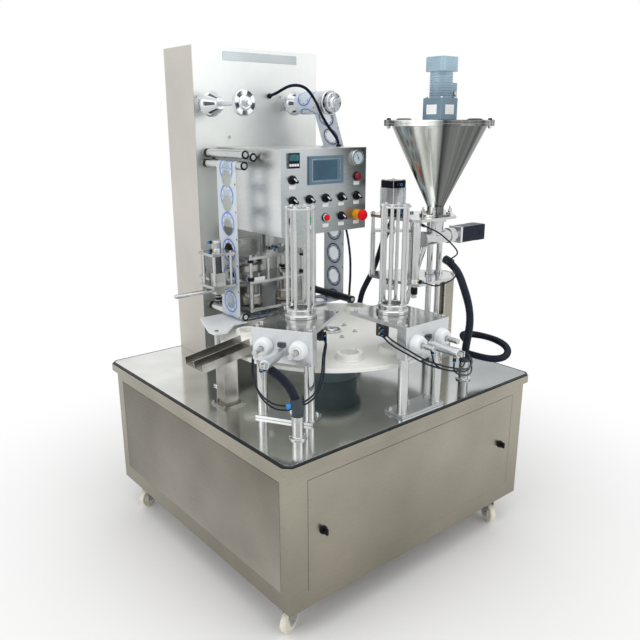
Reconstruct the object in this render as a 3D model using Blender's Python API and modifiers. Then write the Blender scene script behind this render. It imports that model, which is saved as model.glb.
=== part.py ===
"""Coffee capsule filling machine: a rotary table on a wheeled cabinet, with two capsule
dispensers, a powder filler with a hopper, a press, a film sealing unit and a discharge chute.
Metres, +Z up, +X along the front to the right, +Y to the back, origin on the floor under the middle."""

import math

import bmesh
import bpy
from mathutils import Matrix, Vector

# Clearances
SEAT_GAP = 0.0003
RUNNING_GAP = 0.0008

# Cabinet
CABINET_WIDTH = 1.100
CABINET_DEPTH = 1.090
CABINET_HEIGHT = 0.450
CABINET_CLEARANCE = 0.115
FRAME_TUBE = 0.030
FLOOR_SHEET = 0.004
PANEL_SHEET = 0.012
FRONT_STILE_LEFT = 0.0685
FRONT_STILE_RIGHT = 0.0615
SIDE_STILE = 0.0415
RAIL_BOTTOM = 0.057
RAIL_TOP = 0.031
PANEL_GAP = 0.0015
LATCH_INSET = 0.058
LATCH_RADIUS = 0.013
LATCH_GRIP = 0.016

# Table
LIP_OVERHANG = 0.0196
LIP_HEIGHT = 0.027
LIP_MITRE = 0.022
TABLE_SUPPORT = 0.008
TABLE_SHEET_RISE = 0.004
SHEET_OVERHANG = 0.0075
CONDUIT_RADIUS = 0.0175
CONDUIT_BORE = 0.0150
CONDUIT_HEIGHT = 0.068
CONDUIT_FLANGE_RADIUS = 0.027
CONDUITS = ((-0.424, -0.429), (0.328, -0.438))
PEDESTAL_RADIUS = 0.095
GEARBOX_DROP = 0.045
GEARBOX_HEIGHT = 0.190
DRIVE_MOTOR_RADIUS = 0.058
DRIVE_MOTOR_LENGTH = 0.230

# Casters
CASTER_X = 0.470
CASTER_Y = 0.465
CASTER_TRAIL = 0.036
CASTER_ANGLES = (200.0, 250.0, 195.0, 160.0)
WHEEL_RADIUS = 0.037
WHEEL_WIDTH = 0.024
AXLE_RADIUS = 0.005
FORK_SHEET = 0.003
SWIVEL_RADIUS = 0.026

# Turntable
TABLE_CENTRE = (0.0, -0.090)
DISC_RADIUS = 0.400
DISC_THICKNESS = 0.012
DISC_OVER_TABLE = 0.163
NEST_PITCH_RADIUS = 0.300
NEST_COUNT = 12
NEST_OUTER_RADIUS = 0.0425
NEST_INNER_RADIUS = 0.0310
NEST_HEIGHT = 0.022
HUB_RADIUS = 0.110
HUB_HEIGHT = 0.020

# Tower and control box
TOWER_LEFT = -0.264
TOWER_RIGHT = 0.298
TOWER_FACE = 0.354
TOWER_DEPTH = 0.200
TOWER_HEIGHT = 1.1477
TOWER_SHEET = 0.003
BOX_LEFT = -0.174
BOX_RIGHT = 0.215
BOX_FRONT = -0.031
BOX_OVER_TABLE = 0.513
BOX_HEIGHT = 0.290
BOX_SHEET = 0.002
FRONT_EDGE = 0.0005
CONTROL_COLUMN_FIRST = -0.126
CONTROL_COLUMN_PITCH = 0.0735
CONTROL_ROWS = (0.053, 0.121, 0.190)
CONTROL_HOLE_RADIUS = 0.0090
STEM_RADIUS = 0.0080
SELECTOR_RADIUS = 0.0140
BUTTON_RADIUS = 0.0110
BUTTON_TRAVEL = 0.003
STOP_RADIUS = 0.0205
STOP_TRAVEL = 0.005
STOP_COLLAR_RADIUS = 0.0175
STOP_COLLAR_HEIGHT = 0.022
LAMP_BEZEL_RADIUS = 0.0135
LAMP_RADIUS = 0.0110
SCREEN_WIDTH = 0.157
SCREEN_HEIGHT = 0.095
SCREEN_X = 0.0215
SCREEN_BELOW_TOP = 0.0725
SCREEN_REBATE = 0.008
GAUGE_RADIUS = 0.028
GAUGE_X = 0.166
GAUGE_BELOW_TOP = 0.036
GAUGE_DEPTH = 0.010
CONTROLLER_SIDE = 0.050
CONTROLLER_X = -0.121
CONTROLLER_BELOW_TOP = 0.037

# Film rollers and reels
ROLLER_RADIUS = 0.0145
ROLLER_END = 0.100
ROLLER_COLLAR = 0.0155
RIGHT_ROLLER_X = 0.2400
LEFT_ROLLER_X = -0.2295
PULL_ROLLER_RISE = 0.535
NIP_SHIFT = (0.006, 0.0365)
IDLER_SHIFT = (0.038, 0.027)
GUIDE_BAR_X = 0.2460
GUIDE_BAR_RISE = 0.574
ROLLER_SHAFT_RADIUS = 0.006
GUIDE_BAR_RADIUS = 0.0085
REWIND_X = -0.229
REWIND_RISE = 0.7386
SUPPLY_X = 0.143
SUPPLY_RISE = 0.746
REEL_BOSS_RADIUS = 0.026
REEL_BOSS = 0.014
REEL_SHAFT_RADIUS = 0.008
CONE_SMALL_RADIUS = 0.022
CONE_LARGE_RADIUS = 0.043
CONE_LENGTH = 0.034
FILM_ROLL_RADIUS = 0.046
FILM_THICKNESS = 0.0004
FILM_LOW_EDGE = 0.130
FILM_WIDTH = 0.120
FILM_HOLE_RADIUS = 0.030
FILM_HOLE_PITCH = 0.085

# Dispensers, in their own frame: +X away from the disc, station at the origin
STATION_A_ANGLE = 210.0
STATION_B_ANGLE = 270.0
POST_RADIUS = 0.016
POST_OFFSET = 0.130
POST_SPACING = 0.157
FOOT_INNER = 0.069
FOOT_OUTER = 0.152
FOOT_WIDTH = 0.192
FOOT_THICKNESS = 0.009
HEAD_WIDTH = 0.195
HEAD_INNER = -0.098
HEAD_OUTER = 0.155
HEAD_OVER_NESTS = 0.008
HEAD_HEIGHT = 0.106
HEAD_PLATE = 0.013
HEAD_FRONT = 0.040
BOSS_RADIUS = 0.0285
BOSS_LENGTH = 0.028
GUIDE_ROD_RADIUS = 0.008
GUIDE_ROD_SPACING = 0.112
GUIDE_ROD_RISE = 0.049
GUIDE_ROD_REACH = 0.046
PUSHER_TRAVEL = 0.045
CYLINDER_RADIUS = 0.014
CYLINDER_BELOW_RODS = 0.012
PISTON_RADIUS = 0.006
CYLINDER_LENGTH = 0.125
CLEVIS_LENGTH = 0.014
CLEVIS_HALF = 0.008
MAGAZINE_FLANGE_RADIUS = 0.052
MAGAZINE_FLANGE = 0.030
MAGAZINE_BORE = 0.0325
MAGAZINE_ROD_RADIUS = 0.0055
MAGAZINE_ROD_CIRCLE = 0.0400
MAGAZINE_RODS = 6
MAGAZINE_HEIGHT = 0.342
MAGAZINE_RING = 0.005

# Filler and press
LOWER_PLATE_OVER_NESTS = 0.151
PLATE_SPACING = 0.228
FILLER_PLATE = 0.010
COLUMN_RADIUS = 0.011
COLUMNS = ((0.402, -0.193), (0.448, -0.199))
HOPPER_AXIS = (0.365, -0.240)
HOPPER_RIM_RADIUS = 0.165
HOPPER_HEIGHT = 0.287
HOPPER_THROAT_RADIUS = 0.030
HOPPER_NECK = 0.034
HOPPER_SEAT_FLANGE = 0.008
HOPPER_SEAT_RIM = 0.026
HOPPER_RIM_FLANGE = 0.010
HOPPER_WALL = 0.003
HOPPER_FLANGE = 0.008
LID_THICKNESS = 0.012
LID_EAR_REACH = 0.193
MOTOR_SIDE = 0.086
MOTOR_GEARBOX = 0.072
MOTOR_RADIUS = 0.040
MOTOR_BODY = 0.085
MOTOR_CAP = 0.048
MIXER_SHAFT_RADIUS = 0.006
AUGER_DROP = 0.080
AUGER_RADIUS = 0.024
AUGER_START = 0.305
AUGER_END = 0.440
SERVO_START = 0.483
SERVO_END = 0.628
SERVO_SIDE = 0.060
SPOUT_RADIUS = 0.012
SPOUT_TIP_RADIUS = 0.009
SPOUT_START_X = 0.322
SPOUT_TIP = (0.276, -0.196)
SPOUT_OVER_NESTS = 0.056
TAMPER_AXIS = (0.260, -0.248)
TAMPER_CYLINDER_RADIUS = 0.0155
TAMPER_ROD_RADIUS = 0.005
TAMPER_TIP_RADIUS = 0.012
TAMPER_TRAVEL = 0.045
PRESS_AXIS = (0.300, -0.090)
PRESS_SIDE = 0.065
PRESS_ROD_RADIUS = 0.009
PRESS_PAD_RADIUS = 0.030
PRESS_GUIDES = ((0.247, -0.042), (0.353, -0.138))
PRESS_GUIDE_RADIUS = 0.006
PRESS_TRAVEL = 0.055

# Sealing unit
FILM_TABLE_OVER_NESTS = 0.004
FILM_TABLE = 0.006
FILM_OVER_TABLE = 0.0025
SEAL_STATIONS = ((0.0, 0.190), (-0.150, 0.190))
SEAL_PLATE_RISE = 0.029
SEAL_FRAME_HEIGHT = 0.202
SEAL_PLATE = 0.010
SEAL_COLUMN_RADIUS = 0.006
SEAL_HEAD_RADIUS = 0.034
SEAL_TRAVEL = 0.040
CODER_OVER_NESTS = 0.141
CODER_HEIGHT = 0.115

# Hoses, with their points chosen by hand
HOSE_RADIUS = 0.0135

WIRES = "Cutters"


def clear_scene():
    for obj in list(bpy.data.objects):
        bpy.data.objects.remove(obj)


def new_collection(name):
    made = bpy.data.collections.new(name)
    bpy.context.scene.collection.children.link(made)
    return made


def material(name, colour, roughness=0.4, metallic=0.0):
    made = bpy.data.materials.new(name)
    made.use_nodes = True
    shader = made.node_tree.nodes["Principled BSDF"]
    shader.inputs["Base Color"].default_value = (*colour, 1.0)
    shader.inputs["Roughness"].default_value = roughness
    shader.inputs["Metallic"].default_value = metallic
    return made


def helper(name, data):
    """An object in the collection of cutters, until node() takes it as a body."""
    made = bpy.data.objects.new(name, data)
    bpy.data.collections[WIRES].objects.link(made)
    made.hide_render = True
    made.display_type = "WIRE"
    return made


def from_bmesh(name, shape):
    mesh = bpy.data.meshes.new(name)
    shape.to_mesh(mesh)
    shape.free()
    return helper(name, mesh)


def block(name, low, high):
    """A box between two corners."""
    shape = bmesh.new()
    size = Vector(high) - Vector(low)
    bmesh.ops.create_cube(shape, size=1.0)
    bmesh.ops.scale(shape, vec=size, verts=shape.verts)
    bmesh.ops.translate(shape, vec=(Vector(high) + Vector(low)) / 2, verts=shape.verts)
    return from_bmesh(name, shape)


def round_sides(radius):
    """How many flats make a circle look round at its size."""
    for limit, sides in ((0.004, 6), (0.010, 8), (0.018, 12), (0.035, 14), (0.060, 18), (0.120, 28)):
        if radius < limit:
            return sides
    return 48


def rod(name, radius, start, end, end_radius=None):
    """A round bar, or a cone where the end has its own radius."""
    sides = round_sides(radius)
    shape = bmesh.new()
    start, end = Vector(start), Vector(end)
    last = radius if end_radius is None else end_radius
    depth = (end - start).length
    bmesh.ops.create_cone(
        shape, cap_ends=True, segments=sides, radius1=radius, radius2=last, depth=depth
    )
    turn = Vector((0.0, 0.0, 1.0)).rotation_difference((end - start).normalized())
    place = Matrix.Translation((start + end) / 2) @ turn.to_matrix().to_4x4()
    bmesh.ops.transform(shape, matrix=place, verts=shape.verts)
    return from_bmesh(name, shape)


def ring(name, outer, inner, start, end):
    """A round sleeve from start to end, as a profile turned by a Screw modifier."""
    sides = round_sides(outer)
    start, end = Vector(start), Vector(end)
    length = (end - start).length
    profile = [(inner, length), (outer, length), (outer, 0.0), (inner, 0.0)]
    return turned(name, profile, start, end - start, sides, closed=True)


def turned(name, profile, base, axis=(0.0, 0.0, 1.0), sides=20, closed=False):
    """A profile of (radius, height) points, outer side running down, turned about its axis."""
    mesh = bpy.data.meshes.new(name)
    points = [(radius, 0.0, height) for radius, height in profile]
    edges = [(i, i + 1) for i in range(len(points) - 1)]
    if closed:
        edges.append((len(points) - 1, 0))
    mesh.from_pydata(points, edges, [])
    made = helper(name, mesh)
    screw = made.modifiers.new("Turn", "SCREW")
    screw.axis = "Z"
    screw.steps = sides
    screw.render_steps = sides
    screw.use_merge_vertices = True
    screw.merge_threshold = 0.00001
    turn = Vector((0.0, 0.0, 1.0)).rotation_difference(Vector(axis).normalized())
    made.rotation_mode = "QUATERNION"
    made.rotation_quaternion = turn
    made.location = base
    return made


def circle(centre, radius):
    """Points round a circle."""
    sides = round_sides(radius)
    steps = [2 * math.pi * i / sides for i in range(sides)]
    return [(centre[0] + radius * math.cos(a), centre[1] + radius * math.sin(a)) for a in steps]


def rectangle(low, high, corner=0.0):
    """A rectangle's points, with its corners cut off by corner where that isn't zero."""
    (x0, y0), (x1, y1) = low, high
    if corner == 0.0:
        return [(x0, y0), (x1, y0), (x1, y1), (x0, y1)]
    c = corner
    return [
        (x0 + c, y0),
        (x1 - c, y0),
        (x1, y0 + c),
        (x1, y1 - c),
        (x1 - c, y1),
        (x0 + c, y1),
        (x0, y1 - c),
        (x0, y0 + c),
    ]


def plate(name, outline, low, high, holes=()):
    """A flat outline with holes between two heights: a filled 2D curve, made a mesh."""
    curve = bpy.data.curves.new(name, "CURVE")
    curve.dimensions = "2D"
    curve.fill_mode = "BOTH"
    curve.extrude = (high - low) / 2
    for loop in (outline, *holes):
        spline = curve.splines.new("POLY")
        spline.points.add(len(loop) - 1)
        for point, (x, y) in zip(spline.points, loop):
            point.co = (x, y, 0.0, 1.0)
        spline.use_cyclic_u = True
    flat = bpy.data.objects.new(name, curve)
    mesh = bpy.data.meshes.new_from_object(flat)
    bpy.data.objects.remove(flat)
    shape = bmesh.new()
    shape.from_mesh(mesh)
    bmesh.ops.remove_doubles(shape, verts=shape.verts, dist=0.00001)
    bmesh.ops.translate(shape, vec=(0.0, 0.0, (low + high) / 2), verts=shape.verts)
    bmesh.ops.recalc_face_normals(shape, faces=shape.faces)
    bpy.data.meshes.remove(mesh)
    return from_bmesh(name, shape)


def smooth_points(route, spacing):
    """Points on a smooth curve through the route's own points, about spacing apart."""
    knots = [Vector(p) for p in route]
    knots = [2 * knots[0] - knots[1], *knots, 2 * knots[-1] - knots[-2]]
    found = []
    for i in range(1, len(knots) - 2):
        a, b, c, d = knots[i - 1 : i + 3]
        steps = max(1, round((c - b).length / spacing))
        for step in range(steps):
            t = step / steps
            bend = 2 * b + (c - a) * t + (2 * a - 5 * b + 4 * c - d) * t**2
            found.append((bend + (3 * b - a - 3 * c + d) * t**3) / 2)
    return [*found, knots[-2]]


def hose(name, route, radius, spacing=0.035):
    """A tube along a smooth route, as a curve with a round bevel."""
    curve = bpy.data.curves.new(name, "CURVE")
    curve.dimensions = "3D"
    curve.bevel_depth = radius
    curve.bevel_resolution = 2
    curve.use_fill_caps = True
    points = smooth_points(route, spacing)
    spline = curve.splines.new("POLY")
    spline.points.add(len(points) - 1)
    for point, place in zip(spline.points, points):
        point.co = (*place, 1.0)
    return helper(name, curve)


def as_mesh(made):
    """The same tube as a mesh, with its caps welded on."""
    mesh = bpy.data.meshes.new_from_object(made)
    shape = bmesh.new()
    shape.from_mesh(mesh)
    bmesh.ops.remove_doubles(shape, verts=shape.verts, dist=0.00001)
    bmesh.ops.recalc_face_normals(shape, faces=shape.faces)
    name = made.name
    bpy.data.objects.remove(made)
    bpy.data.meshes.remove(mesh)
    return from_bmesh(name, shape)


def node(name, finish, joins, cuts=(), pivot=None, rig=None):
    """The first piece becomes the named part; the others are joined to it, then the cuts are taken away.
    A pivot puts the part's origin on its joint, and a rig is the empty that carries the part."""
    base = joins[0]
    base.name = name
    base.data.name = name
    bpy.data.collections[WIRES].objects.unlink(base)
    bpy.data.collections["Capsule filling machine"].objects.link(base)
    base.hide_render = False
    base.display_type = "TEXTURED"
    base.data.materials.clear()
    base.data.materials.append(finish)
    if pivot is not None:
        base.data.transform(Matrix.Translation(-Vector(pivot)))
        base.location = pivot
    for kind, others in (("UNION", joins[1:]), ("DIFFERENCE", cuts)):
        if not others:
            continue
        group = bpy.data.collections.new(f"{name} {kind.lower()}")
        bpy.data.collections[WIRES].children.link(group)
        for other in others:
            bpy.data.collections[WIRES].objects.unlink(other)
            group.objects.link(other)
        step = base.modifiers.new(kind.title(), "BOOLEAN")
        step.operation = kind
        step.operand_type = "COLLECTION"
        step.collection = group
        step.solver = "EXACT"
    if rig is not None:
        for piece in (*joins, *cuts):
            piece.parent = rig
    return base


def rig_at(name, place, angle):
    """An empty that carries a unit built in its own frame."""
    made = bpy.data.objects.new(name, None)
    bpy.data.collections["Capsule filling machine"].objects.link(made)
    made.location = place
    made.rotation_euler = (0.0, 0.0, math.radians(angle))
    return made


def on_pitch_circle(angle):
    """The middle of the nest at an angle round the turntable."""
    turn = math.radians(angle)
    return (
        TABLE_CENTRE[0] + NEST_PITCH_RADIUS * math.cos(turn),
        TABLE_CENTRE[1] + NEST_PITCH_RADIUS * math.sin(turn),
    )


clear_scene()
new_collection("Capsule filling machine")
new_collection(WIRES)

STAINLESS = material("Brushed stainless", (0.55, 0.53, 0.50), 0.35, 1.0)
POLISHED = material("Polished stainless", (0.65, 0.65, 0.65), 0.15, 1.0)
ALUMINIUM = material("Aluminium", (0.72, 0.73, 0.74), 0.35, 1.0)
ZINC = material("Zinc plate", (0.62, 0.63, 0.62), 0.4, 1.0)
NYLON = material("Cream nylon", (0.80, 0.77, 0.68), 0.5)
DELRIN = material("White acetal", (0.85, 0.85, 0.84), 0.4)
IVORY = material("Ivory disc", (0.82, 0.79, 0.68), 0.45)
BLACK = material("Black plastic", (0.02, 0.02, 0.025), 0.4)
RUBBER = material("Black rubber", (0.03, 0.03, 0.035), 0.6)
RED = material("Red button", (0.65, 0.02, 0.03), 0.35)
GREEN = material("Green button", (0.03, 0.45, 0.12), 0.35)
MOTOR_GREY = material("Motor grey", (0.25, 0.31, 0.36), 0.45)
SCREEN = material("Screen", (0.14, 0.22, 0.30), 0.3)
FILM = material("Printed film", (0.85, 0.87, 0.90), 0.3)

# Cabinet

cabinet_bottom = CABINET_CLEARANCE
cabinet_top = CABINET_CLEARANCE + CABINET_HEIGHT
half_width = CABINET_WIDTH / 2
half_depth = CABINET_DEPTH / 2
window_low = cabinet_bottom + RAIL_BOTTOM
window_high = cabinet_top - RAIL_TOP
CUT_PAST = 0.010


def make_cabinet():
    shell = block(
        "cabinet_frame",
        (-half_width, -half_depth, cabinet_bottom),
        (half_width, half_depth, cabinet_top),
    )
    plates = []
    for x in (-CASTER_X, CASTER_X):
        for y in (-CASTER_Y, CASTER_Y):
            low = (x - 0.045, y - 0.038, cabinet_bottom - FLOOR_SHEET)
            high = (x + 0.045, y + 0.038, cabinet_bottom + FLOOR_SHEET / 2)
            plates.append(block("caster_plate", low, high))
    inside = block(
        "cabinet_inside",
        (-half_width + FRAME_TUBE, -half_depth + FRAME_TUBE, cabinet_bottom + FLOOR_SHEET),
        (half_width - FRAME_TUBE, half_depth - FRAME_TUBE, cabinet_top + CUT_PAST),
    )
    front = block(
        "front_window",
        (-half_width + FRONT_STILE_LEFT, -half_depth - CUT_PAST, window_low),
        (half_width - FRONT_STILE_RIGHT, -half_depth + FRAME_TUBE + CUT_PAST, window_high),
    )
    sides = block(
        "side_windows",
        (-half_width - CUT_PAST, -half_depth + SIDE_STILE, window_low),
        (half_width + CUT_PAST, half_depth - SIDE_STILE, window_high),
    )
    node("cabinet_frame", STAINLESS, [shell, *plates], [inside, front, sides])


def make_panels():
    front_low = (
        -half_width + FRONT_STILE_LEFT + PANEL_GAP,
        -half_depth,
        window_low + SEAT_GAP,
    )
    front_high = (
        half_width - FRONT_STILE_RIGHT - PANEL_GAP,
        -half_depth + PANEL_SHEET,
        window_high - PANEL_GAP,
    )
    middle = (window_low + window_high) / 2
    holes = []
    for name, x in (
        ("latch_left", -half_width + FRONT_STILE_LEFT + LATCH_INSET),
        ("latch_right", half_width - FRONT_STILE_RIGHT - LATCH_INSET),
    ):
        start = (x, -half_depth - CUT_PAST, middle)
        end = (x, -half_depth + PANEL_SHEET + CUT_PAST, middle)
        holes.append(rod(name + "_hole", LATCH_RADIUS * 0.6 + RUNNING_GAP, start, end))
        face = -half_depth - SEAT_GAP
        rosette = rod(name, LATCH_RADIUS, (x, face, middle), (x, face - 0.005, middle))
        wing = block(
            "wing",
            (x - 0.004, face - 0.004 - LATCH_GRIP, middle - LATCH_RADIUS * 0.8),
            (x + 0.004, face - 0.004, middle + LATCH_RADIUS * 0.8),
        )
        stem_end = -half_depth + PANEL_SHEET + 0.006
        stem = rod("stem", LATCH_RADIUS * 0.6, (x, face - 0.002, middle), (x, stem_end, middle))
        cam = block(
            "cam",
            (x - 0.007, stem_end - 0.004, middle - 0.007),
            (x + 0.007, stem_end, middle + 0.026),
        )
        node(name, BLACK, [rosette, wing, stem, cam], pivot=(x, face, middle))
    cover = block("front_panel", front_low, front_high)
    node("front_panel", STAINLESS, [cover], holes, pivot=(0.0, -half_depth, window_low))
    side_low = -half_depth + SIDE_STILE + PANEL_GAP
    side_high = half_depth - SIDE_STILE - PANEL_GAP
    low_z = window_low + SEAT_GAP
    high_z = window_high - PANEL_GAP
    low, high = (-half_width, side_low, low_z), (-half_width + PANEL_SHEET, side_high, high_z)
    node("left_panel", STAINLESS, [block("left_panel", low, high)])
    low, high = (half_width - PANEL_SHEET, side_low, low_z), (half_width, side_high, high_z)
    node("right_panel", STAINLESS, [block("right_panel", low, high)])


# Table

lip_half_width = half_width + LIP_OVERHANG
lip_half_depth = half_depth + LIP_OVERHANG
lip_top = cabinet_top + TABLE_SUPPORT + LIP_HEIGHT
table_top = lip_top + TABLE_SHEET_RISE
sheet_half_width = half_width + SHEET_OVERHANG
sheet_half_depth = half_depth + SHEET_OVERHANG


def make_table():
    outline = rectangle(
        (-lip_half_width, -lip_half_depth), (lip_half_width, lip_half_depth), LIP_MITRE
    )
    tray_inner = (sheet_half_width - 0.060, sheet_half_depth - 0.060)
    well = rectangle((-tray_inner[0], -tray_inner[1]), tray_inner)
    rim = plate("table_frame", outline, cabinet_top + TABLE_SUPPORT, lip_top, [well])
    support_outer = rectangle((-half_width, -half_depth), (half_width, half_depth))
    low = cabinet_top + SEAT_GAP
    support = plate("support", support_outer, low, lip_top - 0.010, [well])
    node("table_frame", STAINLESS, [rim, support])

    pedestal_hole = circle(TABLE_CENTRE, PEDESTAL_RADIUS + RUNNING_GAP)
    top_outline = rectangle(
        (-sheet_half_width, -sheet_half_depth), (sheet_half_width, sheet_half_depth), 0.012
    )
    sheet = plate("table_top", top_outline, lip_top + SEAT_GAP, table_top, [pedestal_hole])
    joins, cuts = [sheet], []
    for x, y in CONDUITS:
        top = table_top + CONDUIT_HEIGHT
        joins.append(rod("conduit", CONDUIT_RADIUS, (x, y, table_top - 0.001), (x, y, top)))
        flange_top = table_top + 0.004
        joins.append(
            rod("flange", CONDUIT_FLANGE_RADIUS, (x, y, table_top - 0.001), (x, y, flange_top))
        )
        cuts.append(rod("bore", CONDUIT_BORE, (x, y, table_top - 0.02), (x, y, top + 0.01)))
    node("table_top", POLISHED, joins, cuts)


# Casters


def make_caster(number, x, y, angle):
    """A swivelling fork with its axle, and the wheel between its legs."""
    rig = rig_at(f"caster_{number}_swivel", (x, y, 0.0), angle)
    plate_under = cabinet_bottom - FLOOR_SHEET - SEAT_GAP
    race_low = plate_under - 0.012
    leg_inner = WHEEL_WIDTH / 2 + 0.0015
    leg_outer = leg_inner + FORK_SHEET
    crown_low = race_low - FORK_SHEET
    race = rod("race", SWIVEL_RADIUS, (0, 0, race_low - 0.001), (0, 0, plate_under))
    crown = block(
        "crown", (-0.020, -leg_outer, crown_low), (CASTER_TRAIL + 0.012, leg_outer, race_low)
    )
    legs = []
    for side in (-1, 1):
        inner, outer = sorted((side * leg_inner, side * leg_outer))
        leg = plate(
            "leg",
            [
                (-0.020, crown_low + 0.001),
                (CASTER_TRAIL - 0.013, WHEEL_RADIUS - 0.010),
                (CASTER_TRAIL + 0.011, WHEEL_RADIUS - 0.010),
                (CASTER_TRAIL + 0.012, crown_low + 0.001),
            ],
            inner,
            outer,
        )
        leg.data.transform(Matrix.Rotation(math.radians(90), 4, "X"))
        legs.append(leg)
    axle = rod(
        "axle",
        AXLE_RADIUS,
        (CASTER_TRAIL, -leg_outer - 0.003, WHEEL_RADIUS),
        (CASTER_TRAIL, leg_outer + 0.003, WHEEL_RADIUS),
    )
    node(f"caster_fork_{number}", ZINC, [race, crown, *legs, axle], rig=rig)
    hub = WHEEL_WIDTH / 2
    bore = AXLE_RADIUS + RUNNING_GAP
    profile = [
        (bore, hub),
        (0.013, hub),
        (0.015, hub - 0.004),
        (WHEEL_RADIUS - 0.008, hub - 0.004),
        (WHEEL_RADIUS - 0.003, hub - 0.001),
        (WHEEL_RADIUS, hub - 0.006),
        (WHEEL_RADIUS, 0.006 - hub),
        (WHEEL_RADIUS - 0.003, 0.001 - hub),
        (WHEEL_RADIUS - 0.008, 0.004 - hub),
        (0.015, 0.004 - hub),
        (0.013, -hub),
        (bore, -hub),
    ]
    wheel = turned(
        "wheel", profile, (CASTER_TRAIL, 0, WHEEL_RADIUS), (0, 1, 0), 16, closed=True
    )
    node(f"caster_wheel_{number}", NYLON, [wheel], rig=rig)


def make_casters():
    corners = ((-1, -1), (1, -1), (-1, 1), (1, 1))
    for number, ((sx, sy), angle) in enumerate(zip(corners, CASTER_ANGLES), 1):
        make_caster(number, sx * CASTER_X, sy * CASTER_Y, angle)


# Indexing drive and turntable

disc_top = table_top + DISC_OVER_TABLE
nest_top = disc_top + NEST_HEIGHT
disc_bottom = disc_top - DISC_THICKNESS
hub_bottom = disc_bottom - HUB_HEIGHT

# Heights that stack up from the nests: film path, heads, plates and hopper

film_table_top = nest_top + FILM_TABLE_OVER_NESTS + FILM_TABLE
roller_height = film_table_top + FILM_OVER_TABLE + ROLLER_RADIUS
right_roller = (RIGHT_ROLLER_X, roller_height)
left_roller = (LEFT_ROLLER_X, roller_height)
pull_roller_low = (LEFT_ROLLER_X, roller_height + PULL_ROLLER_RISE)
pull_roller_high = (LEFT_ROLLER_X + NIP_SHIFT[0], pull_roller_low[1] + NIP_SHIFT[1])
idler_roller = (LEFT_ROLLER_X + IDLER_SHIFT[0], pull_roller_low[1] + IDLER_SHIFT[1])
guide_bar = (GUIDE_BAR_X, roller_height + GUIDE_BAR_RISE)
rewind_axis = (REWIND_X, roller_height + REWIND_RISE)
supply_axis = (SUPPLY_X, roller_height + SUPPLY_RISE)
head_bottom = nest_top + HEAD_OVER_NESTS
head_top = head_bottom + HEAD_HEIGHT
guide_rod_height = head_bottom + GUIDE_ROD_RISE
magazine_top = head_top + MAGAZINE_HEIGHT
lower_plate_top = nest_top + LOWER_PLATE_OVER_NESTS
upper_plate_top = lower_plate_top + PLATE_SPACING
hopper_throat = upper_plate_top + HOPPER_NECK
hopper_rim = hopper_throat + HOPPER_HEIGHT
auger_height = upper_plate_top - AUGER_DROP
seal_plate_low = film_table_top + SEAL_PLATE_RISE
seal_plate_high = seal_plate_low + SEAL_FRAME_HEIGHT


def make_drive():
    """The cam indexer in the cabinet, its motor, and the pedestal that carries the disc."""
    cx, cy = TABLE_CENTRE
    top = hub_bottom - SEAT_GAP
    gearbox_top = cabinet_top - GEARBOX_DROP
    gearbox_low = gearbox_top - GEARBOX_HEIGHT
    middle = (gearbox_low + gearbox_top) / 2
    pedestal = rod("pedestal", PEDESTAL_RADIUS, (cx, cy, gearbox_top - 0.020), (cx, cy, top - 0.020))
    collar = rod("collar", HUB_RADIUS, (cx, cy, top - 0.028), (cx, cy, top))
    low, high = (cx - 0.14, cy - 0.12, gearbox_low), (cx + 0.14, cy + 0.12, gearbox_top)
    gearbox = block("gearbox", low, high)
    stand_low = cabinet_bottom + FLOOR_SHEET + SEAT_GAP
    low, high = (cx - 0.17, cy - 0.15, stand_low), (cx + 0.17, cy + 0.15, gearbox_low + 0.010)
    stand = block("stand", low, high)
    low, high = (cx - 0.13, cy - 0.17, stand_low - CUT_PAST), (cx + 0.13, cy + 0.17, gearbox_low - 0.020)
    hollow = block("hollow", low, high)
    motor_end = cx + 0.13 + DRIVE_MOTOR_LENGTH
    motor = rod("motor", DRIVE_MOTOR_RADIUS, (cx + 0.13, cy, middle), (motor_end, cy, middle))
    start, end = (motor_end - 0.020, cy, middle), (motor_end + 0.025, cy, middle)
    fan = rod("fan_cover", DRIVE_MOTOR_RADIUS + 0.005, start, end)
    node("indexing_drive", MOTOR_GREY, [gearbox, pedestal, collar, stand, motor, fan], [hollow])


def make_turntable():
    """The disc with its twelve stepped nests, its centre nuts and the hub under it."""
    cx, cy = TABLE_CENTRE
    disc = rod("turntable", DISC_RADIUS, (cx, cy, disc_bottom), (cx, cy, disc_top))
    hub = rod("hub", HUB_RADIUS, (cx, cy, hub_bottom), (cx, cy, disc_bottom + 0.001))
    cap = rod("cap", 0.036, (cx, cy, disc_top - 0.001), (cx, cy, disc_top + 0.008))
    joins, cuts = [disc, hub, cap], []
    for step in range(NEST_COUNT):
        x, y = on_pitch_circle(360.0 * step / NEST_COUNT)
        joins.append(
            rod("nest", NEST_OUTER_RADIUS, (x, y, disc_top - 0.001), (x, y, nest_top))
        )
        through = (x, y, disc_bottom - CUT_PAST), (x, y, nest_top + CUT_PAST)
        cuts.append(rod("nest_bore", NEST_INNER_RADIUS, *through))
    node("turntable", IVORY, joins, cuts, pivot=(cx, cy, disc_top))


# Tower

film_plane_left = left_roller[0] - ROLLER_RADIUS
tower_top = table_top + SEAT_GAP + TOWER_HEIGHT


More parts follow.
